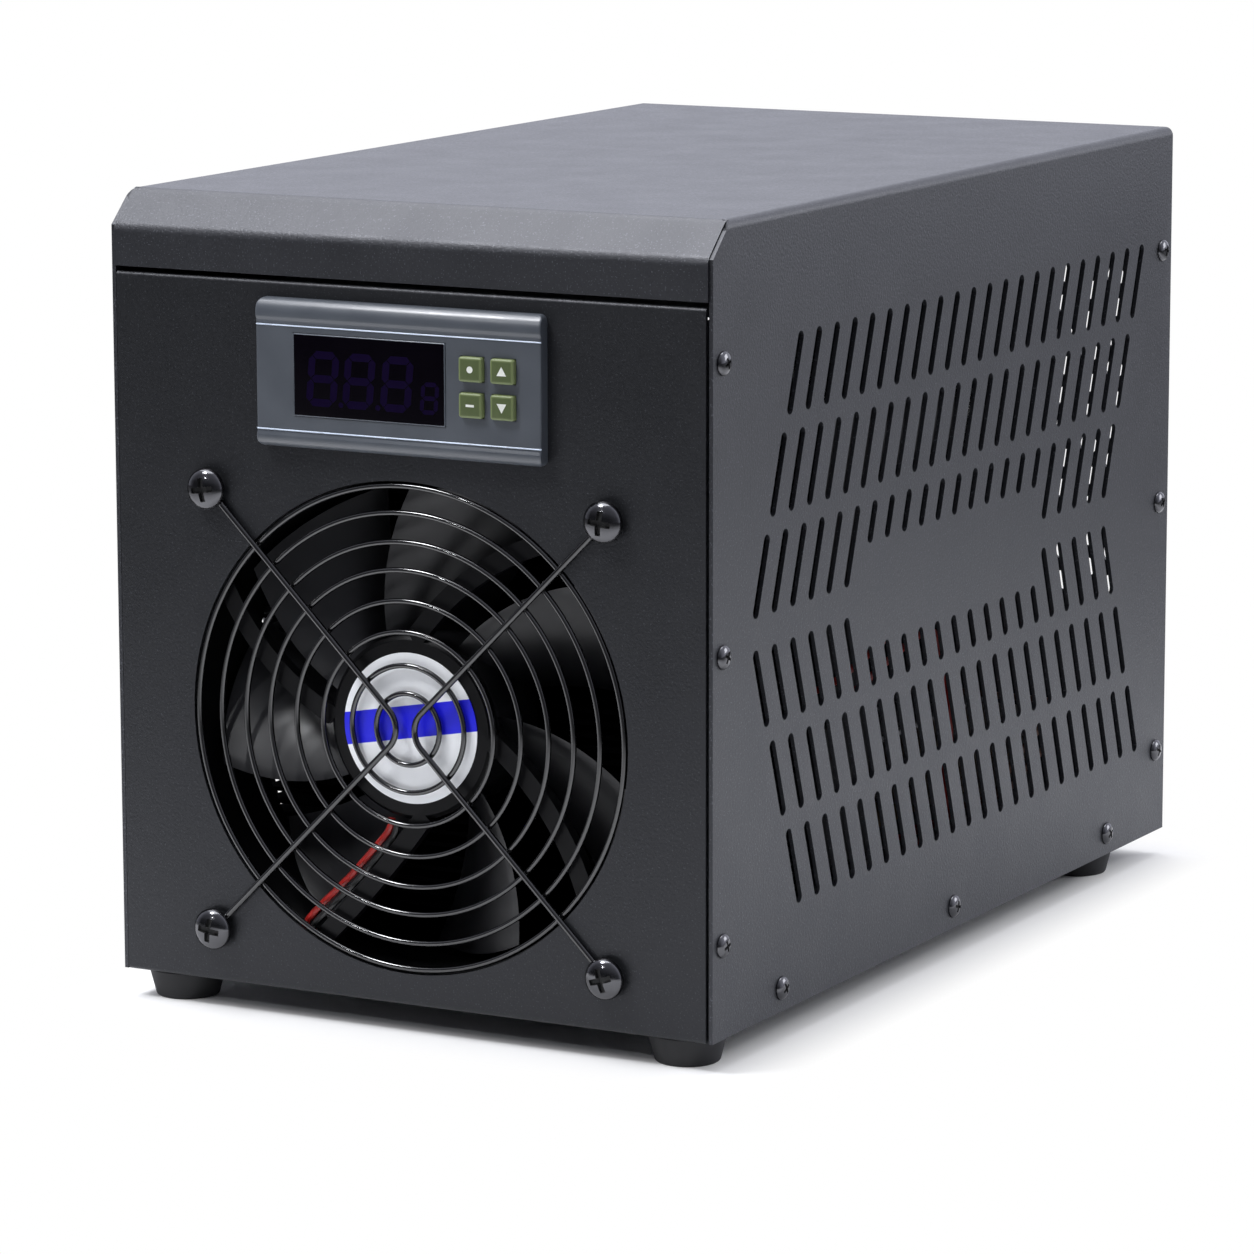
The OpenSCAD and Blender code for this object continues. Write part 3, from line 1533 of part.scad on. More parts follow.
function lead_z() = block_low + module_w - 10;
function module_route(a) = let (x = block_w / 2 + foam_side, z = lead_z(), s = supply_front)
    [[module_gap / 2 + module_w / 2 + 0.3, plate_back + module_t / 2, z + 2 * a],
     [x - 4, plate_back + module_t / 2, z + 2 * a], [x + 4, plate_back + 6, z + 5 + 2 * a],
     [x + 7, foam_back + 4, z + 13 + 2 * a], [x + 7, foam_back + 22, z + 14 + 2 * a],
     [x + 5, s + 24 + a, supply_h + 16 + a], [x + 3, s + 30 + a, lug_top + 16],
     [x + 1, s + 33 + 1.5 * a, lug_top + 5], [x - 4, s + 34 + 2 * a, lug_top + 1.8],
     [x - 9, s + 34 + 2 * a, lug_top + 1]];

module module_leads() {
    color("#c8281e") inside(0, 0, 0) wire(module_route(0), lead_d);
    color("#141414") inside(0, 0, 0) wire(module_route(3), lead_d);
}

function mains_route(x, z, a) = let (back = case_d - inlet_body_d - pin_tail,
        s = supply_front + supply_d, r = supply_right)
    [[x, back - 0.6, z], [x, back - 3, z + 1], [x + 6, s + 4, z + 2 + a],
     [r - 8, s + 4 - a / 3, z + 2 + a], [r + 8, s - 6, z + 2 + a],
     [r + 7, s - 20 - 2 * a, lug_top + 9 + a], [r + 4, s - 25 - 2 * a, lug_top + 4],
     [r, s - 26 - 2 * a, lug_top + 1.8], [r - 5, s - 26 - 2 * a, lug_top + 1]];

module mains_leads() {
    color("#6b4226") inside(0, 0, 0) wire(mains_route(inlet_x + pin_side, mains_z - pin_drop,
        0), lead_d);
    color("#2748a8") inside(0, 0, 0) wire(mains_route(inlet_x, mains_z + pin_drop, 3.4), lead_d);
}

cover();
cover_screws();
front_tray();
rear_panel();
tray_screws();
feet();
foot_screws();
foot_nuts();
fan_guard();
guard_screws();
guard_nuts();
fan_frame();
fan_bearings();
fan_stator();
fan_label();
fan_rotor();
fan_magnet();
fan_shaft();
fan_lead_red();
fan_lead_black();
bezel();
display_window();
display_digits();
control_board();
key_switches();
key_set();
key_reset();
key_up();
key_down();
control_case();
control_clips();
control_terminals();
heat_sink();
sink_brackets();
bracket_screws();
cooling_modules();
water_block();
block_foam();
block_bolts();
water_inlet();
water_outlet();
port_nuts();
port_washers();
inner_hoses();
hose_clips();
temperature_probe();
supply_case();
supply_lid();
supply_board();
supply_terminals();
mains_inlet();
inlet_pins();
inlet_screws();
switch_housing();
switch_rocker();
module_leads();
mains_leads();
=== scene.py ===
import json
import math

import bmesh
import bpy
import numpy as np
from mathutils import Matrix


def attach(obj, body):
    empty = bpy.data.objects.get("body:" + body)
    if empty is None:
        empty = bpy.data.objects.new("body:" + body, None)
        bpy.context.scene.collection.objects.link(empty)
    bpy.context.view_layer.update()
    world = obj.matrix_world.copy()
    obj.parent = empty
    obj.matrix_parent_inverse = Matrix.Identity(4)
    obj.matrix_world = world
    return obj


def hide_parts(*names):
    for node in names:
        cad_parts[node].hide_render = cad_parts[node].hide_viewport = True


bl_info = {
    "name": "Aquarium chiller",
    "version": (1, 0, 0),
    "blender": (4, 5, 0),
    "location": "View3D > Sidebar > Chiller",
    "description": "Dresses the chiller's CAD frame with smooth pieces and finishes",
    "category": "Object",
}

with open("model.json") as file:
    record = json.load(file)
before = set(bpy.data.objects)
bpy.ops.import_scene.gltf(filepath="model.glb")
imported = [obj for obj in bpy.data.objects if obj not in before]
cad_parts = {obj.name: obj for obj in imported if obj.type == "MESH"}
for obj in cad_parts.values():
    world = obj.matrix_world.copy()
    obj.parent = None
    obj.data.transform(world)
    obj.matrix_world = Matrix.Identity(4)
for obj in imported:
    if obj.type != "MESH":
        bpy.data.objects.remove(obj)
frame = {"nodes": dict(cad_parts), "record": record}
NODES = frame["nodes"]
SLOTS = {part["node"]: part["material_slot"] for part in frame["record"]["subparts"]}
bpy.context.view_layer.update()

MM = 1e-3
FRONT_Y = -139.85 * MM
REAR_Y = 120.15 * MM
FLOOR_Z = 7 * MM
TURN = 2 * math.pi

# Diameters of the guard's rings as shares of the outer one
RING_SHARES = (0.148, 0.263, 0.401, 0.528, 0.655, 0.77, 0.89, 1)
# Millimetres from the bezel's middle and size of each digit; decimal points; slant
DIGITS = ((-19.5, 1), (-9.85, 1), (0.15, 1), (8.7, 0.58))
DOTS = (-14.7, -4.9)
DIGIT_LEAN = 0.09
# Name, place, aim, size in metres and power in watts of each lamp
LAMPS = (
    ("overhead", (-0.35, 0.1, 1.4), (-0.2, 0, 0.1), 1.3, 26),
    ("front", (-0.66, -0.8, 1.5), (0, -0.2, 0.1), 0.36, 20),
    ("spark", (-0.5, -1.5, 1.0), (0, -0.1, 0.1), 0.06, 2.4),
    ("right", (1.1, 0.9, 0.6), (0, 0.1, 0.1), 0.7, 8),
)
# Camera fitted to the photograph: place, aim, roll and lens
CAMERA_PLACE = (0.6455, -1.2319, 0.3273)
CAMERA_AIM = (0.0576, -0.13985, 0.1012)
CAMERA_ROLL = math.radians(-0.116)
CAMERA_LENS = 161.33


# Settings


def length(name, description, mm, most=400):
    """A length setting, given in millimetres and kept in metres."""
    return bpy.props.FloatProperty(
        name=name, description=description, default=mm * MM, min=-most * MM,
        max=most * MM, precision=5, subtype="DISTANCE", unit="LENGTH",
    )


def count(name, description, default, most=512):
    """A whole-number setting."""
    return bpy.props.IntProperty(
        name=name, description=description, default=default, min=1, max=most
    )


def share(name, description, default, most=1.0):
    """A plain number between nought and its largest value."""
    return bpy.props.FloatProperty(
        name=name, description=description, default=default, min=0, max=most, precision=4
    )


def colour(name, description, hexadecimal):
    """A colour setting, written as the sRGB colour seen and kept as linear light."""
    parts = [int(hexadecimal[i:i + 2], 16) / 255 for i in (1, 3, 5)]
    return bpy.props.FloatVectorProperty(
        name=name, description=description, size=3, subtype="COLOR", min=0, max=1,
        default=[c / 12.92 if c < 0.04045 else ((c + 0.055) / 1.055) ** 2.4 for c in parts],
    )


class ChillerCase(bpy.types.PropertyGroup):
    width: length("Case width", "Across the two side sheets", 158)
    height: length("Case height", "From the floor sheet to the top", 186)
    depth: length("Case depth", "From the front panel to the rear panel", 260)
    edge: length("Edge round", "Round on the edges of the sheet metal", 0.3)
    bend: length("Lip bend", "Round of the bends over the front lip", 1.5)
    lip_y: length("Upper lip bend", "Depth of the bend between the bevel and the top", 8.81)
    lip_z: length("Lower lip bend", "Height of the bend between the lip and the bevel", 177.84)
    foot_span: length("Foot span", "Between the left and right feet", 135)
    foot_front: length("Front foot", "From the front panel to the front feet", 10.4)
    foot_rear: length("Rear foot", "From the front panel to the rear feet", 230)
    foot_top: length("Foot top", "Diameter of a foot at the case", 18.6)
    foot_low: length("Foot bottom", "Diameter of a foot at the ground", 15)
    foot_high: length("Foot height", "From the ground to the case", 7)
    foot_round: length("Foot round", "Round on a foot's edges", 0.7)
    screw_r: length("Case screw radius", "Head of a case screw", 2.85)
    screw_h: length("Case screw height", "Head of a case screw", 1.5)
    side_in: length("Side screw inset", "From the sheet's front edge to the first screws", 5.3)
    side_back: length("Side screw rear", "From the sheet's rear edge to the last screws", 6.2)
    side_low: length("Lowest side screw", "Height of the lowest screw", 22)
    side_pitch: length("Side screw pitch", "Between the screws of a column", 66.25)
    low_row: length("Bottom screw row", "Height of the bottom row", 5.7)
    low_front: length("Bottom row start", "First screw of the bottom row", 35)
    low_rear: length("Bottom row end", "Last screw, from the rear edge", 37.7)


class ChillerFan(bpy.types.PropertyGroup):
    centre: length("Fan centre", "Height of the fan's axis over the floor sheet", 65.3)
    front: length("Fan front", "Depth of the fan behind the panel's face", 1)
    holes: length("Screw spacing", "Between the fan's screw holes", 105)
    motor_back: length("Motor set-back", "Motor plate behind the fan's face", 0.9)
    label_d: length("Label diameter", "White film on the motor plate", 35.4)
    label_t: length("Label thickness", "White film on the motor plate", 0.25)
    band_h: length("Band height", "Coloured band across the label", 7.6)
    cup_r: length("Cup radius", "Rotor cup", 21)
    cup_front: length("Cup front", "Rotor cup behind the fan's face", 4.7)
    cup_rear: length("Cup rear", "Rotor cup behind the fan's face", 23.5)
    blades: count("Blades", "Number of blades", 7, 16)
    phase: share("Blade phase", "Angle of the first blade in degrees", 114, 360)
    sweep: share("Blade sweep", "Lean of a blade in degrees", 22, 90)
    hub_turn: share("Chord at the cup", "Angle that a blade covers at the cup", 42, 90)
    tip_turn: share("Chord at the tip", "Angle that a blade covers at its tip", 34, 90)
    tip_r: length("Tip radius", "Outer radius of the blades", 55.6)
    drop: length("Blade depth", "Front to back of a blade", 17.9)
    cup: length("Blade cup", "Rise of a blade's middle", 1.6)
    thick: length("Blade thickness", "At the middle of a blade", 1.3)
    blade_z: length("Blade front", "Blades behind the fan's face", 5.1)


class ChillerGuard(bpy.types.PropertyGroup):
    diameter: length("Outer ring", "Diameter of the outer ring", 113.2)
    ring_wire: length("Ring wire", "Diameter of the ring wire", 1.3)
    leg_wire: length("Support wire", "Diameter of the support wires", 1.5)
    leg_gap: length("Wire gap", "Between the two support wires at the middle", 5)
    bend_r: length("Middle bend", "Radius of the bend near the middle", 6)
    eye_r: length("Eye radius", "Loop round each screw", 2.95)
    screw_r: length("Screw radius", "Domed head of a guard screw", 4.9)
    screw_h: length("Screw height", "Domed head of a guard screw", 2.8)


class ChillerThermostat(bpy.types.PropertyGroup):
    height_z: length("Bezel centre", "Height over the floor sheet", 146.4)
    width: length("Bezel width", "Thermostat's frame", 75)
    high: length("Bezel height", "Thermostat's frame", 34.5)
    proud: length("Bezel depth", "Thermostat's frame on the panel", 3.4)
    rail_top: length("Upper rail", "Rounded part above the face", 4.1)
    rail_low: length("Lower rail", "Rounded part below the face", 2.7)
    rail_wall: length("Rail wall", "Upright part of the rails at the panel", 0.6)
    corner: length("Bezel corner", "Round of the frame's corners", 1.6)
    bead: length("Bead", "Width of the two raised lines", 0.34)
    bead_top: length("Upper bead", "Below the frame's top edge", 6.1)
    bead_low: length("Lower bead", "Above the frame's bottom edge", 4.2)
    bead_proud: length("Bead height", "Raised lines over the face", 0.22)
    face_in: length("Face set-back", "Face behind the crests of the rails", 0.35)
    face_step: length("Face step", "Way in which the face sinks behind a rail", 1.1)
    window_x: length("Window centre", "Left of the bezel's middle", 7.3)
    window_w: length("Window width", "Dark window", 40.2)
    window_h: length("Window height", "Dark window", 19.1)
    window_in: length("Window recess", "Window behind the frame's face", 0.1)
    key_x: length("Key centre", "Right of the bezel's middle", 23.9)
    key_pitch: length("Key pitch", "Between neighbouring keys", 8.2)
    key_w: length("Key width", "One key", 6.1)
    key_h: length("Key height", "One key", 5.7)
    key_proud: length("Key height over the frame", "Top of a key", 0.9)
    digit_w: length("Digit width", "Segments behind the window", 8.1)
    digit_h: length("Digit height", "Segments behind the window", 12.8)
    digit_t: length("Segment width", "One segment", 1.8)


class ChillerColours(bpy.types.PropertyGroup):
    coat: colour("Powder coat", "Case sheets", "#26272a")
    coat_panel: colour("Panel coat", "Front and rear panels", "#191a1c")
    bezel: colour("Bezel", "Thermostat's frame", "#4a4f56")
    key: colour("Key", "Push keys", "#4f5b36")
    # Key edge: the colour that each key turns towards near its rim.
    key_edge: colour("Key edge", "Paler rim of a key", "#828f5f")
    mark: colour("Key mark", "Print on the keys", "#e8eae2")
    window: colour("Window", "Tinted window", "#050308")
    ghost: colour("Unlit segments", "Digits behind the window", "#0d0422")
    band: colour("Label band", "Band on the motor's label", "#0a0cdc")
    paper: colour("Label film", "Motor's label", "#f4f6f8")
    floor: colour("Floor", "Studio floor", "#fbfbfb")


# Shader nodes


def arithmetic(operation):
    """A method that joins a value and another one in a Math node."""
    return lambda self, other: self.maths(operation, self, other)


class Flow:
    """A value in a material. Python's arithmetic on it adds Math nodes."""

    def __init__(self, paint, socket):
        self.paint = paint
        self.socket = socket

    def maths(self, operation, *values):
        return self.paint.node(
            "ShaderNodeMath", {"operation": operation}, dict(enumerate(values))
        )

    def __rsub__(self, other):
        return self.maths("SUBTRACT", other, self)

    def __abs__(self):
        return self.maths("ABSOLUTE", self)

    __add__ = __radd__ = arithmetic("ADD")
    __sub__ = arithmetic("SUBTRACT")
    __mul__ = __rmul__ = arithmetic("MULTIPLY")
    __pow__ = arithmetic("POWER")
    least = arithmetic("MINIMUM")
    most = arithmetic("MAXIMUM")

    def ramp(self, low, high, start=0.0, end=1.0):
        """Runs evenly from start to end as the value goes from low to high."""
        return self.paint.node(
            "ShaderNodeMapRange", {"clamp": True},
            {"Value": self, "From Min": low, "From Max": high, "To Min": start, "To Max": end},
        )


class Paint:
    """One material: a Principled shader and the nodes that feed it."""

    def __init__(self, name, **settings):
        self.material = bpy.data.materials.new(name)
        self.material.use_nodes = True
        self.tree = self.material.node_tree
        self.tree.nodes.clear()
        self.shader = self.tree.nodes.new("ShaderNodeBsdfPrincipled")
        self.out = self.tree.nodes.new("ShaderNodeOutputMaterial")
        self.tree.links.new(self.shader.outputs[0], self.out.inputs["Surface"])
        self.set(**settings)
        self.point = None

    def feed(self, socket, value):
        if isinstance(value, Flow):
            self.tree.links.new(value.socket, socket)
        elif socket.type == "RGBA":
            socket.default_value = [*value[:3], 1]
        else:
            socket.default_value = value

    def node(self, kind, settings=None, inputs=None, output=0):
        """Adds any node: first its settings, then the values or links of its sockets."""
        made = self.tree.nodes.new(kind)
        for key, value in (settings or {}).items():
            setattr(made, key, value)
        for key, value in (inputs or {}).items():
            self.feed(made.inputs[key], value)
        return Flow(self, made.outputs[output])

    def set(self, **settings):
        """Feeds sockets of the Principled shader, named with underscores for spaces."""
        for key, value in settings.items():
            self.feed(self.shader.inputs[key.replace("_", " ")], value)
        return self

    def place(self):
        """The point of the surface, in the object's own metres."""
        if self.point is None:
            self.point = self.node("ShaderNodeTexCoord", output="Object")
        return self.point

    def axis(self, name):
        """One coordinate of the surface point, in metres."""
        return self.node("ShaderNodeSeparateXYZ", None, {0: self.place()}, output=name)

    def noise(self, size, detail=2, rough=0.5, stretch=None):
        """Soft noise from 0 to 1 whose features are about a size across, in metres."""
        point = self.place()
        if stretch:
            point = self.node(
                "ShaderNodeMapping", None, {"Vector": point, "Scale": stretch}
            )
        return self.node(
            "ShaderNodeTexNoise", None,
            {"Vector": point, "Scale": 1 / size, "Detail": detail, "Roughness": rough},
        )

    def mixed(self, factor, first, second):
        """A colour between two colours."""
        return self.node(
            "ShaderNodeMix", {"data_type": "RGBA"},
            {"Factor": factor, 6: first, 7: second}, output=2,
        )

    def tinted(self, tone, base, dark, light):
        """Feeds Base Color with a colour between a darker and a lighter share of it."""
        self.set(Base_Color=self.mixed(tone, shade(base, dark), shade(base, light)))

    def worn(self, tone, smooth, rough):
        """Feeds Roughness between two values."""
        self.set(Roughness=tone.ramp(0.3, 0.7, smooth, rough))

    def bumped(self, height, depth, strength):
        """Feeds Normal from a height between 0 and 1 that stands for a depth in metres."""
        inputs = {"Height": height, "Distance": depth, "Strength": strength}
        self.set(Normal=self.node("ShaderNodeBump", None, inputs))


PAINTS = {}


def shade(colour_value, factor):
    """A colour made lighter or darker by a factor."""
    return [min(1.0, c * factor) for c in colour_value]


def powder_coat(name, base, gloss):
    """Fine-grained powder coat: matt bumps with small scattered light specks."""
    paint = Paint(name, Specular_IOR_Level=gloss, Specular_Tint=(0.93, 0.94, 1))
    fine = paint.noise(0.7 * MM, 3, 0.6)
    broad = paint.noise(16 * MM, 3)
    speck = paint.noise(0.42 * MM, 0).ramp(0.7, 0.76)
    tone = (fine - 0.5) * 0.75 + (broad - 0.5) * 0.3 + 0.5
    body = paint.mixed(tone, shade(base, 0.65), shade(base, 1.38))
    paint.set(Base_Color=paint.mixed(speck * 0.5, body, shade(base, 6)))
    paint.worn(fine * 0.6 + broad * 0.4, 0.36, 0.5)
    paint.bumped(fine, 0.08 * MM, 1)
    return paint.material


def moulded(name, base, rough, grain=0.01, coat=0, gloss=0.5):
    """Moulded plastic or rubber with a fine spark-eroded grain and faint tone changes."""
    paint = Paint(name, Specular_IOR_Level=gloss, Coat_Weight=coat, Coat_Roughness=0.08)
    fine = paint.noise(0.3 * MM, 2, 0.55)
    broad = paint.noise(9 * MM)
    tone = broad * 0.7 + fine * 0.3
    paint.tinted(tone, base, 0.82, 1.2)
    paint.worn(tone, rough - 0.05, rough + 0.06)
    paint.bumped(fine, grain * MM, 0.5)
    return paint.material


def plated(name, base, rough):
    """Plated metal with faint polishing marks."""
    paint = Paint(name, Metallic=1.0)
    fine = paint.noise(0.5 * MM, 3, 0.6)
    broad = paint.noise(5 * MM)
    paint.tinted(broad, base, 0.85, 1.12)
    paint.worn(fine, rough * 0.8, rough * 1.25)
    paint.bumped(fine, 0.004 * MM, 0.3)
    return paint.material


def gloss_black(name, base, rough):
    """Black stoved enamel on wire: dark, smooth and shiny, a little uneven."""
    paint = Paint(name, Specular_IOR_Level=1.0)
    broad = paint.noise(3 * MM)
    paint.tinted(broad, base, 0.8, 1.3)
    paint.worn(broad, rough * 0.8, rough * 1.3)
    paint.bumped(broad, 0.006 * MM, 0.2)
    return paint.material


def striped(name, base, lines, rough):
    """Extruded or drawn metal with fine lines along one direction."""
    paint = Paint(name, Metallic=1.0)
    draw = paint.noise(0.6 * MM, stretch=lines)
    paint.tinted(draw, base, 0.8, 1.15)
    paint.worn(draw, rough - 0.08, rough + 0.08)
    paint.bumped(draw, 0.01 * MM, 0.4)
    return paint.material


def motor_label(name, paper, band, height, middle):
    """White film with one plain slanting band across the disc."""
    paint = Paint(name, Roughness=0.42, Specular_IOR_Level=0.5)
    tilt, raised, blur = math.radians(10.3), 1.6 * MM, 0.05 * MM
    across = paint.axis("X") * -math.sin(tilt) + (paint.axis("Z") - middle) * math.cos(tilt)
    band_mask = abs(across - raised * math.cos(tilt)).ramp(
        height / 2 - blur, height / 2 + blur, 1.0, 0.0
    )
    tone = paint.noise(4 * MM)
    white = paint.mixed(tone, shade(paper, 0.95), paper)
    blue = paint.mixed(tone, shade(band, 0.9), shade(band, 1.1))
    paint.set(Base_Color=paint.mixed(band_mask, white, blue))
    paint.bumped(paint.noise(0.4 * MM), 0.003 * MM, 0.3)
    return paint.material


def keycap(name, base, rim, x, z, half_w, half_h):
    """Satin green plastic, paler towards the rim of the key."""
    paint = Paint(name, Specular_IOR_Level=0.5)
    fine = paint.noise(0.3 * MM)
    # The key colour runs towards the rim colour over the last 0.75 mm at each edge.
    pale_from_edge, palest_from_edge = 0.75 * MM, 0.25 * MM
    side = abs(paint.axis("X") - x).ramp(half_w - pale_from_edge, half_w - palest_from_edge)
    end = abs(paint.axis("Z") - z).ramp(half_h - pale_from_edge, half_h - palest_from_edge)
    edge = side.most(end)
    body = paint.mixed(fine, shade(base, 0.85), shade(base, 1.15))
    paint.set(Base_Color=paint.mixed(edge * 0.75, body, rim))
    paint.worn(fine, 0.38, 0.5)
    paint.bumped(fine, 0.008 * MM, 0.4)
    return paint.material


def make_paints(colours):
    """All finishes, most of them kept under the names of the record's slots."""
    plain = {  # colour, roughness, and where unusual grain in mm, clear coat and gloss
        "black_rubber": ((0.013, 0.013, 0.014), 0.72, 0.04),
        "black_plastic": ((0.012, 0.012, 0.013), 0.36, 0.012, 0.1),
        "rotor_plastic": ((0.005, 0.005, 0.006), 0.36, 0.004),
        "fan_plastic": ((0.003, 0.003, 0.0035), 0.36, 0.01, 0, 0.14),
        "foam": ((0.014, 0.014, 0.014), 0.9, 0.12),
        "hose_rubber": ((0.02, 0.02, 0.021), 0.5, 0.02),
        "magnet": ((0.05, 0.045, 0.04), 0.6, 0.03),
        "board": ((0.02, 0.1, 0.04), 0.4, 0.01, 0.2),
        "brown_board": ((0.25, 0.17, 0.08), 0.5, 0.02, 0.1),
        "orange_plastic": ((0.75, 0.25, 0.04), 0.4),
        "green_plastic": ((0.03, 0.22, 0.07), 0.4),
        "ceramic": ((0.8, 0.79, 0.74), 0.5, 0.02),
        "red_lead": ((0.36, 0.014, 0.01), 0.33, 0.006, 0.1),
        "black_lead": ((0.012, 0.012, 0.012), 0.33, 0.006, 0.2),
        "brown_lead": ((0.15, 0.06, 0.03), 0.33, 0.006, 0.2),
        # The black_anodised slot, the heat sink behind the fan, is made near black and dull:
        # painted shade for the dark inside of the case.
        "black_anodised": ((0.0015, 0.0015, 0.002), 0.7, 0.01, 0, 0.03),
        # The cross recesses of the screw heads get a near-black colour: painted shade in the
        # recess.
        "recess": ((0.004, 0.004, 0.004), 0.6),
        "bezel_plastic": (colours.bezel, 0.34, 0.01, 0, 0.9),
        # The bead lines take the bezel colour made near white: a painted highlight along the
        # raised lines.
        "bead": (shade(colours.bezel, 9), 0.3),
        # The pane's edge takes the bezel colour made paler: a painted highlight round the
        # window.
        "painted_pane_highlight": (shade(colours.bezel, 1.5), 0.25),
        "window_plastic": (colours.window, 0.16, 0.001, 0, 0.12),
        "ghost": (colours.ghost, 0.2, 0.001, 0, 0.12),
        "mark": (colours.mark, 0.45),
        "key_plastic": (colours.key, 0.45),
        "label_paper": (colours.paper, 0.45),
    }
    for name, settings in plain.items():
        PAINTS[name] = moulded(name, *settings)
    PAINTS["case_steel"] = powder_coat("case_steel", colours.coat, 0.5)
    PAINTS["panel_steel"] = powder_coat("panel_steel", colours.coat_panel, 0.4)
    PAINTS["bright_steel"] = plated("bright_steel", (0.62, 0.61, 0.58), 0.24)
    PAINTS["black_nickel"] = plated("black_nickel", (0.1, 0.1, 0.105), 0.13)
    PAINTS["enamel"] = gloss_black("enamel", (0.002, 0.002, 0.0022), 0.1)
    PAINTS["aluminium"] = striped("aluminium", (0.6, 0.61, 0.63), (1, 0.05, 1), 0.32)
    PAINTS["copper"] = striped("copper", (0.5, 0.22, 0.1), (1, 1, 8), 0.3)


# Meshes


class Skin:
    """The surfaces of one piece, gathered as grids of points in metres."""

    def __init__(self):
        self.points = []
        self.faces = []
        self.marks = []
        self.total = 0

    def grid(self, points, ring_rows=False, ring_columns=False, caps=False, mark=0):
        """Adds a grid of points (rows, columns, 3): a quad between each four neighbours."""
        rows, columns = points.shape[:2]
        number = np.arange(rows * columns).reshape(rows, columns) + self.total
        if ring_rows:
            number = np.vstack([number, number[:1]])
        if ring_columns:
            number = np.hstack([number, number[:, :1]])
        quads = np.stack(
            [number[:-1, :-1], number[:-1, 1:], number[1:, 1:], number[1:, :-1]], -1
        ).reshape(-1, 4).tolist()
        if caps:
            quads += [number[0, :columns][::-1].tolist(), number[-1, :columns].tolist()]
        self.points.append(np.asarray(points, float).reshape(-1, 3))
        self.faces += quads
        self.marks += [mark] * len(quads)
        self.total += rows * columns
        return self

    def tube(self, points, caps=False, mark=0):
        """Adds a grid whose rows are closed rings."""
        return self.grid(points, ring_columns=True, caps=caps, mark=mark)

    def moved(self, move):
        """Passes every point through a function on whole arrays."""
        self.points = [move(points) for points in self.points]
        return self

    def join(self, other):
        """Takes in another skin's points and faces."""
        self.faces += [[i + self.total for i in face] for face in other.faces]
        self.points += other.points
        self.marks += other.marks
        self.total += other.total
        return self

    def closed(self, name, flat=0.0):
        """One mesh of all surfaces, merged where they meet."""
        made = bpy.data.meshes.new(name)
        made.from_pydata(np.concatenate(self.points), [], self.faces)
        made.polygons.foreach_set("material_index", np.array(self.marks, np.int32))
        return tidied(made, flat=flat)


def tidied(mesh, outward=True, flat=0.0, merge=1e-6):
    """Merges doubled points, joins flat neighbours if asked and turns the faces outwards."""
    work = bmesh.new()
    work.from_mesh(mesh)
    bmesh.ops.remove_doubles(work, verts=work.verts, dist=merge)
    bmesh.ops.dissolve_degenerate(work, edges=work.edges, dist=merge / 10)
    loose = [point for point in work.verts if not point.link_faces]
    bmesh.ops.delete(work, geom=loose, context="VERTS")
    if flat:
        bmesh.ops.dissolve_limit(
            work, angle_limit=flat, verts=work.verts, edges=work.edges, delimit={"MATERIAL"}
        )
    if outward:
        bmesh.ops.recalc_face_normals(work, faces=work.faces)
    work.to_mesh(mesh)
    work.free()
    return mesh


def piece(name, mesh, body, slot, *paints, stands_for=(), bend=32, bevel=0.0, soft=0.0):
    """Puts a finished mesh into the scene as one piece on a body."""
    for paint in paints:
        mesh.materials.append(PAINTS[paint] if isinstance(paint, str) else paint)
    mesh.shade_smooth()
    mesh.set_sharp_from_angle(angle=math.radians(bend))
    made = bpy.data.objects.new(name, mesh)
    bpy.context.scene.collection.objects.link(made)
    if soft:
        cut = made.modifiers.new("Bends", "BEVEL")
        cut.width = soft
        cut.segments = 6
        cut.limit_method = "WEIGHT"
        cut.use_clamp_overlap = False
    if bevel:
        cut = made.modifiers.new("Edges", "BEVEL")
        cut.width = bevel
        cut.segments = 2
        cut.limit_method = "ANGLE"
        cut.angle_limit = math.radians(30)
        cut.harden_normals = True
        cut.use_clamp_overlap = True
    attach(made, body)
    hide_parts(*stands_for)


def coordinates(mesh):
    """The points of a mesh as an array."""
    points = np.empty(len(mesh.vertices) * 3)
    mesh.vertices.foreach_get("co", points)
    return points.reshape(-1, 3)


def mark_bends(mesh, bends):
    """Weighs the long edges that lie on bends, given by depth y and height z."""
    points = coordinates(mesh)
    ends = np.empty(len(mesh.edges) * 2, int)
    mesh.edges.foreach_get("vertices", ends)
    ends = ends.reshape(-1, 2)
    weight = np.zeros(len(mesh.edges), np.float32)
    for y, z in bends:
        near = np.hypot(points[:, 1] - FRONT_Y - y, points[:, 2] - FLOOR_Z - z) < 0.2 * MM
        weight[near[ends].all(1)] = 1
    marks = mesh.attributes.new("bevel_weight_edge", "FLOAT", "EDGE")
    marks.data.foreach_set("value", weight)


def softened(node, paint, body, slot, width, reshape=None, soft=0.0, bends=()):
    """A merged copy of a CAD node, its flat faces joined and its edges rounded."""
    mesh = NODES[node].data.copy()
    mesh.materials.clear()
    tidied(mesh, outward=False, flat=math.radians(0.5))
    if reshape:
        mesh.vertices.foreach_set("co", reshape(coordinates(mesh)).ravel())
    if bends:
        mark_bends(mesh, bends)
    mesh.polygons.foreach_set("material_index", np.zeros(len(mesh.polygons), np.int32))
    piece(node + "_dressed", mesh, body, slot, paint, stands_for=[node], bevel=width,
          soft=soft)


def on_front(points, x=0.0, z=0.0):
    """Local x, up and out of the front panel, to the frame's axes."""
    return np.stack(
        [x + points[..., 0], FRONT_Y - points[..., 2], FLOOR_Z + z + points[..., 1]], -1
    )


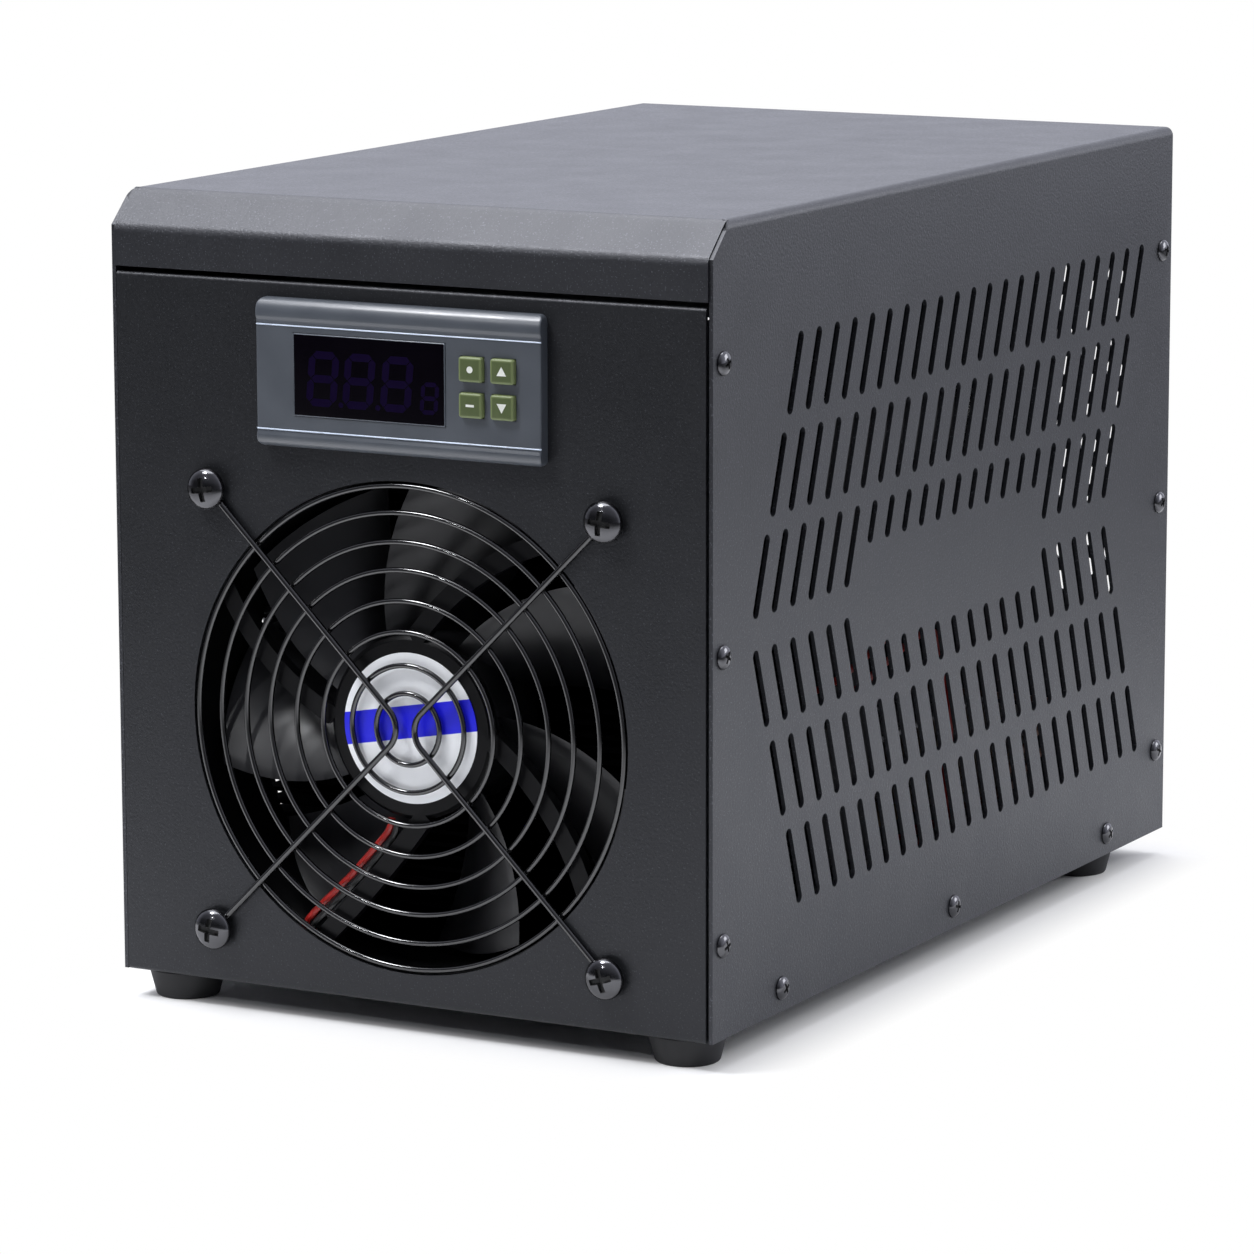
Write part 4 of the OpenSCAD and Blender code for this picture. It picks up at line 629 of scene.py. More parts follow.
def on_side(points, side, y, z, wall):
    """Local x, up and out of a side sheet, to the frame's axes."""
    return np.stack(
        [side * (wall + points[..., 2]), FRONT_Y + y + side * points[..., 0],
         FLOOR_Z + z + points[..., 1]], -1
    )


def turned(a):
    """The matrix that turns rows of points by an angle about z."""
    c, s = math.cos(a), math.sin(a)
    return np.array([[c, s, 0], [-s, c, 0], [0, 0, 1]])


def circle(r, n, start=0.0):
    """n points evenly round a circle: r cos a, r sin a."""
    a = start + np.linspace(0, TURN, n, endpoint=False)
    return np.stack([r * np.cos(a), r * np.sin(a)], -1)


def lathe(profile, n):
    """Profile points (radius, height) turned round the z axis: r cos a, r sin a, h."""
    profile = np.asarray(profile, float)
    spin = circle(1.0, n)
    xy = profile[:, None, 0, None] * spin[None]
    z = np.broadcast_to(profile[:, 1, None, None], (len(profile), n, 1))
    return np.concatenate([xy, z], -1)


def rounded(corners, r, n=5):
    """Corner points (radius, height) of a profile, each corner rounded by an arc of n points."""
    corners = np.asarray(corners, float)
    out = []
    t = np.linspace(0, 1, n)[:, None]
    for before, p, after in zip(corners, corners[1:], corners[2:]):
        a, b = before - p, after - p
        la, lb = np.linalg.norm(a), np.linalg.norm(b)
        reach = min(r, la * 0.45, lb * 0.45)
        start, end = p + a / la * reach, p + b / lb * reach
        out.append((1 - t) ** 2 * start + 2 * t * (1 - t) * p + t ** 2 * end)
    return np.concatenate([corners[:1], *out, corners[-1:]])


def torus(big, small, n, m, z=0.0):
    """A ring of round wire: ((R + r cos b) cos a, (R + r cos b) sin a, z + r sin b)."""
    a = np.linspace(0, TURN, n, endpoint=False)[:, None]
    b = np.linspace(0, TURN, m, endpoint=False)[None]
    out = big + small * np.cos(b)
    return np.stack(
        [out * np.cos(a), out * np.sin(a), np.broadcast_to(z + small * np.sin(b), (n, m))], -1
    )


def flat_wire(path, r, m):
    """A round wire along a path in a plane: the path + r (cos b · sideways + sin b · up)."""
    path = np.asarray(path, float)
    along = np.gradient(path, axis=0)
    along /= np.linalg.norm(along, axis=1)[:, None]
    side = np.stack([-along[:, 1], along[:, 0]], -1)
    b = np.linspace(0, TURN, m, endpoint=False)
    xy = path[:, None, :2] + r * np.cos(b)[None, :, None] * side[:, None]
    z = path[:, None, 2] + r * np.sin(b)[None]
    return np.concatenate([xy, z[..., None]], -1)


def eased(share_value):
    """Smooth step on whole arrays: 3s² - 2s³ between 0 and 1."""
    s = np.clip(share_value, 0, 1)
    return s * s * (3 - 2 * s)


def screw_head(r, h, long=0.5, wide=0.12, deep=0.6, power=2.0, rim=0.1):
    """A domed head with a tapered cross recess.

    A square grid of s and t from -1 to 1 is bent into a disc by u = s √(1 - t²/2) and
    v = t √(1 - s²/2). Its height is rim + (1 - rim) √(1 - ρ^power), less the recess, whose
    steep walls lie between grid lines and whose floor falls towards the middle.
    """
    walls = np.array([long, long * 0.93, wide, wide * 0.8])
    knots = np.sin(np.linspace(-1, 1, 25) * math.pi / 2)
    clear = np.abs(np.abs(knots)[:, None] - walls).min(1) > 0.03
    knots = np.unique(np.concatenate([knots[clear], walls, -walls, [0, long / 2, -long / 2]]))
    s, t = np.meshgrid(knots, knots, indexing="ij")
    u = s * np.sqrt(1 - t * t / 2)
    v = t * np.sqrt(1 - s * s / 2)
    rho = np.clip(np.hypot(u, v), 0, 1)
    dome = rim + (1 - rim) * np.sqrt(np.clip(1 - rho ** power, 0, 1))

    def arm(along, across):
        inside = (np.abs(across) < wide * 0.9) & (np.abs(along) < long * 0.96)
        return inside * (1 - 0.55 * np.abs(along) / long)

    dent = np.maximum(arm(s, t), arm(t, s))
    top = np.stack([r * u, r * v, h * (dome - dent * deep)], -1)
    # Cells of the recess are marked for that near-black material: painted shade.
    inner = np.maximum.reduce([dent[:-1, :-1], dent[1:, :-1], dent[:-1, 1:], dent[1:, 1:]]) > 0
    loop = np.concatenate([top[0, :-1], top[:-1, -1], top[-1, :0:-1], top[:0:-1, 0]])
    foot = loop * [1, 1, 0]
    skirt = np.stack([loop, loop * [1, 1, 0.4], foot])
    skin = Skin().grid(top)
    skin.marks = inner.astype(int).ravel().tolist()
    skin.tube(skirt)
    skin.tube(np.stack([foot, foot * 0]))
    return skin


# Operators


def add_feet(case):
    """Turned rubber feet: a cone with a rounded foot, hollow in the middle."""
    top, low, h = case.foot_top / 2, case.foot_low / 2, case.foot_high
    hole, bore, seat = 2.3 * MM, 4.4 * MM, h - 2.6 * MM
    profile = np.concatenate([
        [[hole, h]],
        rounded([[hole, h], [top, h], [low, 0], [bore, 0], [bore, seat], [hole, seat]],
                case.foot_round, 6),
    ])
    skin = Skin()
    for side in (-1, 1):
        for y in (case.foot_front, case.foot_rear):
            foot = lathe(profile, 64) + [side * case.foot_span / 2, FRONT_Y + y, 0]
            skin.grid(foot, ring_rows=True, ring_columns=True)
    piece("rubber_feet", skin.closed("feet"), "case", "black_rubber", "black_rubber",
          stands_for=["feet"])


def add_side_screws(case):
    """Pan-head screws in the side sheets."""
    skin = Skin()
    tall = [case.side_low + k * case.side_pitch for k in range(3)]
    spots = [(y, z) for y in (case.side_in, case.depth - case.side_back) for z in tall]
    middle = (case.low_front + case.depth - case.low_rear) / 2
    spots += [(y, case.low_row) for y in (case.low_front, middle, case.depth - case.low_rear)]
    for side in (-1, 1):
        for k, (y, z) in enumerate(spots):
            spin = turned(math.radians(17 + 47 * k))
            head = screw_head(case.screw_r, case.screw_h, power=2.6)
            skin.join(head.moved(
                lambda p: on_side(p @ spin, side, y, z, case.width / 2)
            ))
    piece("case_screw_heads", skin.closed("side_screws"), "case", "black_nickel",
          "black_nickel", "recess", stands_for=["cover_screws"], bend=28)


def add_guard(guard, fan):
    """Fan guard: rings of wire on two bent support wires that end in eyes.

    A support wire is a straight line from each eye to the arc of its bend, where it touches
    the arc: at the angle lean = acos(r / c) - atan(reach / s), with c² = s² + reach².
    """
    skin = Skin()
    wire, leg = guard.ring_wire / 2, guard.leg_wire / 2
    welded = 0.15 * MM
    ring_z = leg + welded - (guard.leg_wire + guard.ring_wire) / 2
    for part in RING_SHARES:
        ring = part * guard.diameter / 2
        skin.grid(torus(ring, wire, 180 if part > 0.5 else 96, 14, ring_z), True, True)
    s, r = fan.holes / 2, guard.bend_r
    reach = s - guard.leg_gap / 2 - r
    lean = math.acos(r / math.hypot(s, reach)) - math.atan2(reach, s)
    bend = np.array([-guard.leg_gap / 2 - r, 0])
    start = bend + r * np.array([math.sin(lean), math.cos(lean)])
    screw = np.array([-s, s])
    whole = screw - start
    eye = screw - whole / np.linalg.norm(whole) * guard.eye_r
    upper = start + (eye - start) * np.linspace(1, 0, 30)[:, None]
    a = np.linspace(math.pi / 2 - lean, lean - math.pi / 2, 24)[1:-1]
    arc = bend + r * np.stack([np.cos(a), np.sin(a)], -1)
    path = np.concatenate([upper, arc, upper[::-1] * [1, -1]])
    path = np.column_stack([path, np.full(len(path), leg)])
    for side in (1, -1):
        skin.tube(flat_wire(path * [side, 1, 1], leg, 16), caps=True)
        for end in (1, -1):
            skin.grid(torus(guard.eye_r, leg, 48, 14, leg) + [-side * s, end * s, 0], True, True)
    skin.moved(lambda p: on_front(p, z=fan.centre))
    piece("guard_wires", skin.closed("guard"), "case", "black_nickel", "enamel",
          stands_for=["fan_guard"], bend=50)


def add_guard_screws(guard, fan):
    """Domed screws that hold the guard and the fan."""
    skin = Skin()
    s = fan.holes / 2
    r, top, end = 2 * MM, guard.leg_wire + 0.2 * MM, -31 * MM
    shank = lathe([[0, top], [r, top], [r, end], [0, end]], 24)
    for x, z, turn in ((-s, s, 8), (s, s, -7), (s, -s, 16), (-s, -s, -9)):
        spin = turned(math.radians(turn))
        head = screw_head(guard.screw_r, guard.screw_h, long=0.58, wide=0.15, deep=0.5)
        head.moved(lambda p: on_front(p @ spin + [0, 0, guard.leg_wire], x, fan.centre + z))
        skin.join(head)
        skin.tube(on_front(shank, x, fan.centre + z))
    piece("guard_screw_heads", skin.closed("guard_screws"), "case", "black_nickel",
          "black_nickel", "recess", stands_for=["guard_screws"], bend=28)


def blade_points(fan, rows=30, columns=22):
    """Middle surface of a blade for shares s of its span and c of its chord.

    Radius = root + (tip - root) s, angle = -(sweep s + turn c), height = -drop c +
    cup sin πc. Each side lies half a thickness off along the surface's normal.
    """
    s, c = np.meshgrid(np.linspace(0, 1, rows), np.linspace(0, 1, columns), indexing="ij")

    root = fan.cup_r - 0.7 * MM
    thin_share, blunt, e = 0.35, 24, 0.01

    def spot(s, c):
        r = root + (fan.tip_r - root) * s
        turn = fan.hub_turn + (fan.tip_turn - fan.hub_turn) * s
        a = np.radians(-fan.sweep * s - turn * c)
        z = -fan.drop * c + fan.cup * np.sin(np.pi * c)
        return np.stack([r * np.cos(a), r * np.sin(a), z], -1)

    normal = np.cross(spot(s + e, c) - spot(s - e, c), spot(s, c + e) - spot(s, c - e))
    normal /= np.linalg.norm(normal, axis=-1)[..., None]
    half = fan.thick / 2 * (thin_share + (1 - thin_share) * np.sin(np.pi * c))
    fade = np.sqrt(np.clip(1 - (2 * np.abs(c - 0.5)) ** blunt, 0, 1))
    half = (half * fade)[..., None]
    return spot(s, c) + normal * half, spot(s, c) - normal * half


def add_rotor(fan):
    """The fan's rotor: a round-edged cup and smooth cupped blades."""
    front, back, inner = -fan.cup_front, -fan.cup_rear, fan.cup_r - 1.6 * MM
    bore, floor = 1.7 * MM, back + 1.8 * MM
    cup = rounded([[bore, back], [fan.cup_r, back], [fan.cup_r, front], [inner, front],
                   [inner, floor], [bore, floor]], 0.7 * MM, 6)
    skin = Skin().grid(lathe(cup, 120), ring_rows=True, ring_columns=True)
    upper, lower = blade_points(fan)
    blade = np.concatenate([upper, lower[:, ::-1]], axis=1)
    for k in range(fan.blades):
        spin = turned(math.radians(fan.phase) + TURN * k / fan.blades)
        skin.tube(blade @ spin - [0, 0, fan.blade_z], caps=True)
    skin.moved(lambda p: on_front(p - [0, 0, fan.front], z=fan.centre))
    piece("rotor_blades", skin.closed("rotor"), "rotor", "rotor_plastic", "rotor_plastic",
          stands_for=["fan_rotor"], bend=40)


def add_label(fan, colours):
    """The round film on the motor plate."""
    low, r = -fan.front - fan.motor_back, fan.label_d / 2
    high = low + fan.label_t
    profile = rounded([[0, low], [r, low], [r, high], [0, high]], 0.1 * MM, 4)
    skin = Skin().tube(on_front(lathe(profile, 120), z=fan.centre))
    paint = motor_label("label", colours.paper, colours.band, fan.band_h,
                        FLOOR_Z + fan.centre)
    piece("motor_label", skin.closed("label"), "case", "label_paper", paint,
          stands_for=["fan_label"])


def rounded_box(w, h, low, high, r, edge, n=6):
    """A box with round corners and edges: a rounded outline, drawn in near the top.

    The outline is the square with corners of radius r; near the top it is moved inwards
    by edge (1 - cos b) and up by edge sin b.
    """
    a = np.concatenate([np.linspace(0, TURN / 4, n) + k * TURN / 4 for k in range(4)])
    sign = np.repeat([[1, 1], [-1, 1], [-1, -1], [1, -1]], n, axis=0)
    centre = sign * [w / 2 - r, h / 2 - r]
    way = np.stack([np.cos(a), np.sin(a)], -1)
    b = np.linspace(0, math.pi / 2, 6)
    inset = np.concatenate([[0], edge * (1 - np.cos(b))])
    height = np.concatenate([[low], high - edge + edge * np.sin(b)])
    xy = centre[None] + way[None] * (r - np.minimum(inset, r * 0.98))[:, None, None]
    z = np.broadcast_to(height[:, None, None], (*xy.shape[:2], 1))
    return np.concatenate([xy, z], -1)


def flat_shape(outline, low, high):
    """A thin plate: the outline at two heights."""
    return np.stack([np.column_stack([outline, np.full(len(outline), z)])
                     for z in (low, high)])


def key_mark(kind, size):
    """Outline of the print on a key: a triangle up or down, a dot or a bar."""
    if kind == "dot":
        return circle(size * 0.62, 24)
    if kind == "bar":
        return size * np.array([[-0.85, -0.22], [0.85, -0.22], [0.85, 0.22], [-0.85, 0.22]])
    triangle = size * np.array([[-1, -0.75], [1, -0.75], [0, 0.95]])
    return triangle if kind == "up" else -triangle


def add_keys(stat, colours):
    """Four soft-edged keys, each on its own body."""
    top = stat.proud + stat.key_proud
    foot, corner, edge, mark_size = -1.1 * MM, 0.7 * MM, 0.55 * MM, 1.25 * MM
    box = rounded_box(stat.key_w, stat.key_h, foot, top, corner, edge)
    for node, body, column, row, kind in (
        ("key_set", "set_key", -1, 1, "dot"), ("key_reset", "reset_key", -1, -1, "bar"),
        ("key_up", "up_key", 1, 1, "up"), ("key_down", "down_key", 1, -1, "down"),
    ):
        x = stat.key_x + column * stat.key_pitch / 2
        z = stat.height_z + row * stat.key_pitch / 2
        skin = Skin().tube(on_front(box, x, z), caps=True)
        shape = flat_shape(key_mark(kind, mark_size), top - 0.05 * MM, top + 0.02 * MM)
        skin.tube(on_front(shape, x, z), caps=True, mark=1)
        paint = keycap(node + "_green", colours.key, colours.key_edge, x, FLOOR_Z + z,
                       stat.key_w / 2, stat.key_h / 2)
        piece(node + "_cap", skin.closed(node), body, "key_plastic", paint, "mark",
              stands_for=[node], bend=40)


def segment_bars(w, h, t, gap):
    """Seven bars of one digit, as outlines with pointed ends, each as (x, z) points."""
    x, y = w / 2 - t / 2, h / 2 - t / 2
    corners = [(-x, y), (x, y), (x, 0), (x, -y), (-x, -y), (-x, 0), (-x, y)]
    bars = []
    for a, b in [*zip(corners, corners[1:]), ((-x, 0), (x, 0))]:
        a, b = np.array(a, float), np.array(b, float)
        along = (b - a) / np.linalg.norm(b - a)
        side = np.array([-along[1], along[0]]) * t / 2
        tip = along * t / 2
        a, b = a + along * gap, b - along * gap
        bars.append(np.array([a, a + tip - side, b - tip - side, b, b - tip + side,
                              a + tip + side]))
    return bars


def plate(top, low, keep):
    """A solid between two grids of points, open where keep is false.

    Each kept cell gives a quad on both grids; each edge between a kept and an open cell, or
    on the rim, gives a wall.
    """
    rows, columns = top.shape[:2]
    upper = np.arange(rows * columns).reshape(rows, columns)
    lower = upper + rows * columns
    i, j = np.nonzero(keep)
    faces = []
    for number in (upper, lower):
        faces.append(np.stack(
            [number[i, j], number[i, j + 1], number[i + 1, j + 1], number[i + 1, j]], -1
        ))
    ring = np.pad(keep, 1)
    for step, edge in (((1, 0), ring[1:-1, :-1] ^ ring[1:-1, 1:]),
                       ((0, 1), ring[:-1, 1:-1] ^ ring[1:, 1:-1])):
        i, j = np.nonzero(edge)
        k, m = i + step[0], j + step[1]
        faces.append(np.stack([upper[i, j], upper[k, m], lower[k, m], lower[i, j]], -1))
    skin = Skin()
    skin.points = [top.reshape(-1, 3), low.reshape(-1, 3)]
    skin.faces = np.concatenate(faces).tolist()
    skin.marks = [0] * len(skin.faces)
    skin.total = 2 * rows * columns
    return skin


def rail_profile(stat, up):
    """How far the thermostat's frame stands out at heights up from its middle.

    Rails: wall + (proud - wall) √(1 - d²), d being the share of the rail that is left. Face:
    a smooth step down behind the rails. Beads: half-round lines (1 - e²) of their width.
    """
    half = stat.high / 2
    out = np.full_like(up, stat.proud)
    for left, rail in ((half - up, stat.rail_top), (half + up, stat.rail_low)):
        d = np.clip(1 - left / rail, 0, 1)
        curve = stat.rail_wall + (stat.proud - stat.rail_wall) * np.sqrt(1 - d ** 2.6)
        out = np.minimum(out, curve)
    inner = np.minimum(half - stat.rail_top - up, half - stat.rail_low + up)
    out = out - stat.face_in * eased(inner / stat.face_step)
    for middle in (half - stat.bead_top, stat.bead_low - half):
        e = np.clip(np.abs(up - middle) / (stat.bead / 2), 0, 1)
        out = out + stat.bead_proud * (1 - e ** 2)
    return out


def add_bezel(stat):
    """The thermostat's frame: a moulded profile with openings for the window and keys."""
    half_w, half, r = stat.width / 2, stat.high / 2, stat.corner
    gap, end_r, end_drop = 0.1 * MM, 0.5 * MM, 0.35 * MM
    left = -stat.window_x - stat.window_w / 2 - gap
    right = -stat.window_x + stat.window_w / 2 + gap
    window_h = stat.window_h / 2 + gap
    keys = [(stat.key_x + column * stat.key_pitch / 2, row * stat.key_pitch / 2)
            for column in (-1, 1) for row in (-1, 1)]
    w, h = stat.key_w / 2 + gap, stat.key_h / 2 + gap
    crests = (half - stat.bead_top, stat.bead_low - half)
    upper, lower = half - stat.rail_top, stat.rail_low - half

    def bent(n):
        return 1 - np.cos(np.linspace(0, math.pi / 2, n))

    ends = half_w - r * bent(7)
    xs = np.concatenate([-ends, ends, [0, left, right]] + [[x - w, x + w] for x, z in keys])
    zs = np.concatenate(
        [half - stat.rail_top * bent(20), stat.rail_low * bent(16) - half,
         np.linspace(upper, upper - stat.face_step, 5),
         np.linspace(lower, lower + stat.face_step, 5), [window_h, -window_h]] +
        [crest + stat.bead / 2 * np.linspace(-1, 1, 9) for crest in crests] +
        [[z - h, z + h] for x, z in keys]
    )
    xs, zs = np.unique(xs.round(7)), np.unique(zs.round(7))
    x, z = np.meshgrid(xs, zs)
    drawn_in = r - np.sqrt(np.clip(r ** 2 - np.clip(np.abs(z) - (half - r), 0, r) ** 2, 0, None))
    near = np.clip((np.abs(x) - half_w + r) / r, 0, 1)
    flat = x - np.sign(x) * near * drawn_in
    last = np.clip((np.abs(x) - half_w + end_r) / end_r, 0, 1)
    out = rail_profile(stat, z) - end_drop * (1 - np.sqrt(1 - last ** 2))
    top = np.stack([flat, z, out], -1)
    cx, cz = np.meshgrid((xs[1:] + xs[:-1]) / 2, (zs[1:] + zs[:-1]) / 2)
    # Cells on the bead lines get the near-white bead material, a painted highlight.
    bead_highlight_cells = np.abs(cz[..., None] - crests).min(-1) < stat.bead / 2
    keep = ~((cx > left) & (cx < right) & (np.abs(cz) < window_h))
    for kx, kz in keys:
        keep &= ~((np.abs(cx - kx) < w) & (np.abs(cz - kz) < h))
    skin = plate(on_front(top, z=stat.height_z), on_front(top * [1, 1, 0], z=stat.height_z),
                 keep)
    shown = bead_highlight_cells[keep].astype(int).tolist()
    skin.marks[:len(shown)] = shown
    piece("bezel_frame", skin.closed("bezel", math.radians(0.2)), "case", "bezel_plastic",
          "bezel_plastic", "bead", stands_for=["bezel"], bend=35, bevel=0.12 * MM)


def add_window(stat):
    """Tinted window with unlit digits showing faintly through it."""
    top, h = stat.proud - stat.window_in, stat.digit_h
    middle = stat.height_z - 0.6 * MM
    thick, corner, edge, gap, dot_r = 1.5 * MM, 0.4 * MM, 0.25 * MM, 0.14 * MM, 0.65 * MM
    pane = rounded_box(stat.window_w, stat.window_h, top - thick, top, corner, edge)
    # The pane's walls and rounded top edge take the paler edge material, a painted highlight;
    # its flat top is the tinted window.
    skin = Skin().tube(on_front(pane, -stat.window_x, stat.height_z), caps=True, mark=2)
    skin.marks[-1] = 0

    def show(outline, x, z):
        shape = flat_shape(outline, top - 0.02 * MM, top + 0.012 * MM)
        skin.tube(on_front(shape, x * MM, z), caps=True, mark=1)

    for x, size in DIGITS:
        for bar in segment_bars(stat.digit_w * size, h * size, stat.digit_t * size, gap):
            bar[:, 0] += DIGIT_LEAN * bar[:, 1]
            show(bar, x, middle - h / 2 * (1 - size))
    for x in DOTS:
        show(circle(dot_r, 16), x, middle - h / 2 + 0.7 * MM)
    piece("display_pane", skin.closed("window"), "case", "window_plastic", "window_plastic",
          "ghost", "painted_pane_highlight", stands_for=["display_window"], bend=40)


def dress_nodes():
    """Gives every CAD node the finish of its slot."""
    for node, slot_name in SLOTS.items():
        data = NODES[node].data
        data.materials.clear()
        data.materials.append(PAINTS[slot_name])


def smooth_copies(case):
    """Rounded copies of the nodes that show outside.

    The cover's lip is widened to just short of the side sheets, and the front corners of its
    top are drawn forward along the slant y = lip_y + shift - (height - z) · slope.
    """
    inner, near = case.width / 2 - 1 * MM, 0.05 * MM
    lip_gap, lip_back, clearance = 0.5 * MM, 10.2 * MM, 0.04 * MM
    corner_y, corner_w, corner_z = 10.6 * MM, 1.4 * MM, 183 * MM
    shift, slope = 0.4 * MM, 1.07

    def closed_corners(points):
        x, y, z = points.T
        y, z, side = y - FRONT_Y, z - FLOOR_Z, np.sign(x)
        lip = (np.abs(np.abs(x) - inner + lip_gap) < near) & (y < lip_back)
        corner = (np.abs(y - corner_y) < near) & (np.abs(x) > inner - corner_w)
        x = np.where(lip, side * (inner - clearance), x)
        slanted = case.lip_y + shift - (case.height - z) * slope
        y = np.where(corner & (z > corner_z), slanted, y)
        return np.stack([x, y + FRONT_Y, z + FLOOR_Z], -1)

    softened("cover", "case_steel", "case", "case_steel", case.edge,
             reshape=closed_corners, soft=case.bend,
             bends=[(0, case.lip_z), (case.lip_y, case.height)])
    for nodes, body, slot_name, paint, width in (
        (("front_tray", "rear_panel"), "case", "panel_steel", "panel_steel", case.edge),
        (("mains_inlet", "switch_housing"), "case", "black_plastic", "black_plastic", 0.3 * MM),
        (("water_inlet", "water_outlet"), "case", "black_plastic", "black_plastic", 0.25 * MM),
        (("inlet_screws", "foot_screws", "tray_screws", "bracket_screws"), "case",
         "bright_steel", "bright_steel", 0.08 * MM),
        (("fan_frame",), "case", "black_plastic", "fan_plastic", 0.35 * MM),
        (("switch_rocker",), "rocker", "black_plastic", "black_plastic", 0.4 * MM),
    ):
        for node in nodes:
            softened(node, paint, body, slot_name, width)


class Add(bpy.types.Operator):
    """Base of the operators that make pieces."""

    bl_options = {"REGISTER", "UNDO"}


class CHILLER_OT_finishes(Add):
    """Make the finishes and give each CAD node its own"""

    bl_idname = "chiller.finishes"
    bl_label = "Finishes"

    def execute(self, context):
        make_paints(context.scene.chiller_colours)
        dress_nodes()
        return {"FINISHED"}


class CHILLER_OT_sheets(Add):
    """Round the edges of the sheet metal and the moulded parts"""

    bl_idname = "chiller.sheets"
    bl_label = "Sheets and mouldings"

    def execute(self, context):
        smooth_copies(context.scene.chiller_case)
        return {"FINISHED"}


class CHILLER_OT_case(Add):
    """Make the feet and the case screws"""

    bl_idname = "chiller.case"
    bl_label = "Feet and screws"

    def execute(self, context):
        add_feet(context.scene.chiller_case)
        add_side_screws(context.scene.chiller_case)
        return {"FINISHED"}


class CHILLER_OT_fan(Add):
    """Make the fan's rotor and label"""

    bl_idname = "chiller.fan"
    bl_label = "Fan"

    def execute(self, context):
        add_rotor(context.scene.chiller_fan)
        add_label(context.scene.chiller_fan, context.scene.chiller_colours)
        return {"FINISHED"}


class CHILLER_OT_guard(Add):
    """Make the wire guard and its screws"""

    bl_idname = "chiller.guard"
    bl_label = "Guard"

    def execute(self, context):
        add_guard(context.scene.chiller_guard, context.scene.chiller_fan)
        add_guard_screws(context.scene.chiller_guard, context.scene.chiller_fan)
        return {"FINISHED"}


class CHILLER_OT_thermostat(Add):
    """Make the frame, the window and the keys"""

    bl_idname = "chiller.thermostat"
    bl_label = "Thermostat"

    def execute(self, context):
        add_bezel(context.scene.chiller_thermostat)
        add_window(context.scene.chiller_thermostat)
        add_keys(context.scene.chiller_thermostat, context.scene.chiller_colours)
        return {"FINISHED"}


def add_floor(colours, case):
    """A round pale floor that fades into the white backdrop.

    Its colour and the fade follow the distance from the case's footprint, less than nought
    inside it: √(aside² + along²) + inside.
    """
    paint = Paint("studio_floor", Roughness=0.6, Specular_IOR_Level=0.2)
    ray = paint.node("ShaderNodeLightPath", output="Is Camera Ray")
    aside = abs(paint.axis("X")) - case.width / 2
    along = abs(paint.axis("Y") - (FRONT_Y + REAR_Y) / 2) - case.depth / 2
    inside = aside.most(along).least(0.0)
    aside, along = aside.most(0.0), along.most(0.0)
    far = (aside * aside + along * along) ** 0.5 + inside
    dark = (0.1, 0.1, 0.1)
    paint.set(Base_Color=paint.mixed(far.ramp(0.1, 0.5), colours.floor, dark))
    fade = far.ramp(-8 * MM, 16 * MM)
    glow = paint.node("ShaderNodeEmission", None, {"Color": (1, 1, 1), "Strength": 1.0})
    mix = paint.node("ShaderNodeMixShader", None, {"Fac": fade * ray})
    paint.tree.links.new(paint.shader.outputs[0], mix.socket.node.inputs[1])
    paint.tree.links.new(glow.socket, mix.socket.node.inputs[2])
    paint.tree.links.new(mix.socket, paint.out.inputs["Surface"])
    skin = Skin().tube(lathe([[0, 0], [0.3, 0], [1, 0], [4, 0]], 64))
    mesh = skin.closed("floor")
    mesh.materials.append(paint.material)
    floor = bpy.data.objects.new("studio_floor", mesh)
    bpy.context.scene.collection.objects.link(floor)


def add_world():
    """White where the camera looks, and for the other rays a room that is bright behind,
    half bright overhead and dim in front."""
    world = bpy.data.worlds.new("studio")
    bpy.context.scene.world = world
    world.use_nodes = True
    room = Paint.__new__(Paint)
    room.tree = world.node_tree
    room.tree.nodes.clear()
    room.point = room.node("ShaderNodeTexCoord", output="Generated")
    back = room.axis("Y").ramp(-0.5, 0.45)
    up = room.axis("Z").ramp(0.15, 0.9)
    side = room.axis("X").ramp(0.2, 0.9)
    light = (back * 0.85 + up * 0.35 + side * 0.1 + 0.06).least(1.0)
    rays = "ShaderNodeLightPath"
    seen = room.node(rays, output="Is Camera Ray").most(
        room.node(rays, output="Is Transmission Ray"))
    gloss = room.node(rays, output="Is Glossy Ray")
    strength = seen + (1 - seen) * light * (gloss * 0.9 + 0.5)
    tint = room.mixed(seen, (0.85, 0.87, 1), (1, 1, 1))
    white = room.node("ShaderNodeBackground", None, {"Color": tint, "Strength": strength})
    out = room.tree.nodes.new("ShaderNodeOutputWorld")
    room.tree.links.new(white.socket, out.inputs["Surface"])


def add_lamp(name, place, aim, size, power):
    """A square soft box that looks at a point."""
    data = bpy.data.lights.new(name, "AREA")
    data.shape, data.size, data.energy, data.color = "SQUARE", size, power, (0.96, 0.97, 1)
    lamp = bpy.data.objects.new(name, data)
    bpy.context.scene.collection.objects.link(lamp)
    point_at(lamp, place, aim)


def point_at(thing, place, aim, roll=0.0):
    """Puts a lamp or camera at a place and turns its -Z axis to a point."""
    place, aim = np.array(place, float), np.array(aim, float)
    back = (place - aim) / np.linalg.norm(place - aim)
    right = np.cross([0, 0, 1], back)
    right /= np.linalg.norm(right)
    up = np.cross(back, right)
    c, s = math.cos(roll), math.sin(roll)
    matrix = np.eye(4)
    matrix[:3] = np.column_stack([c * right + s * up, c * up - s * right, back, place])
    thing.matrix_world = Matrix(matrix.tolist())


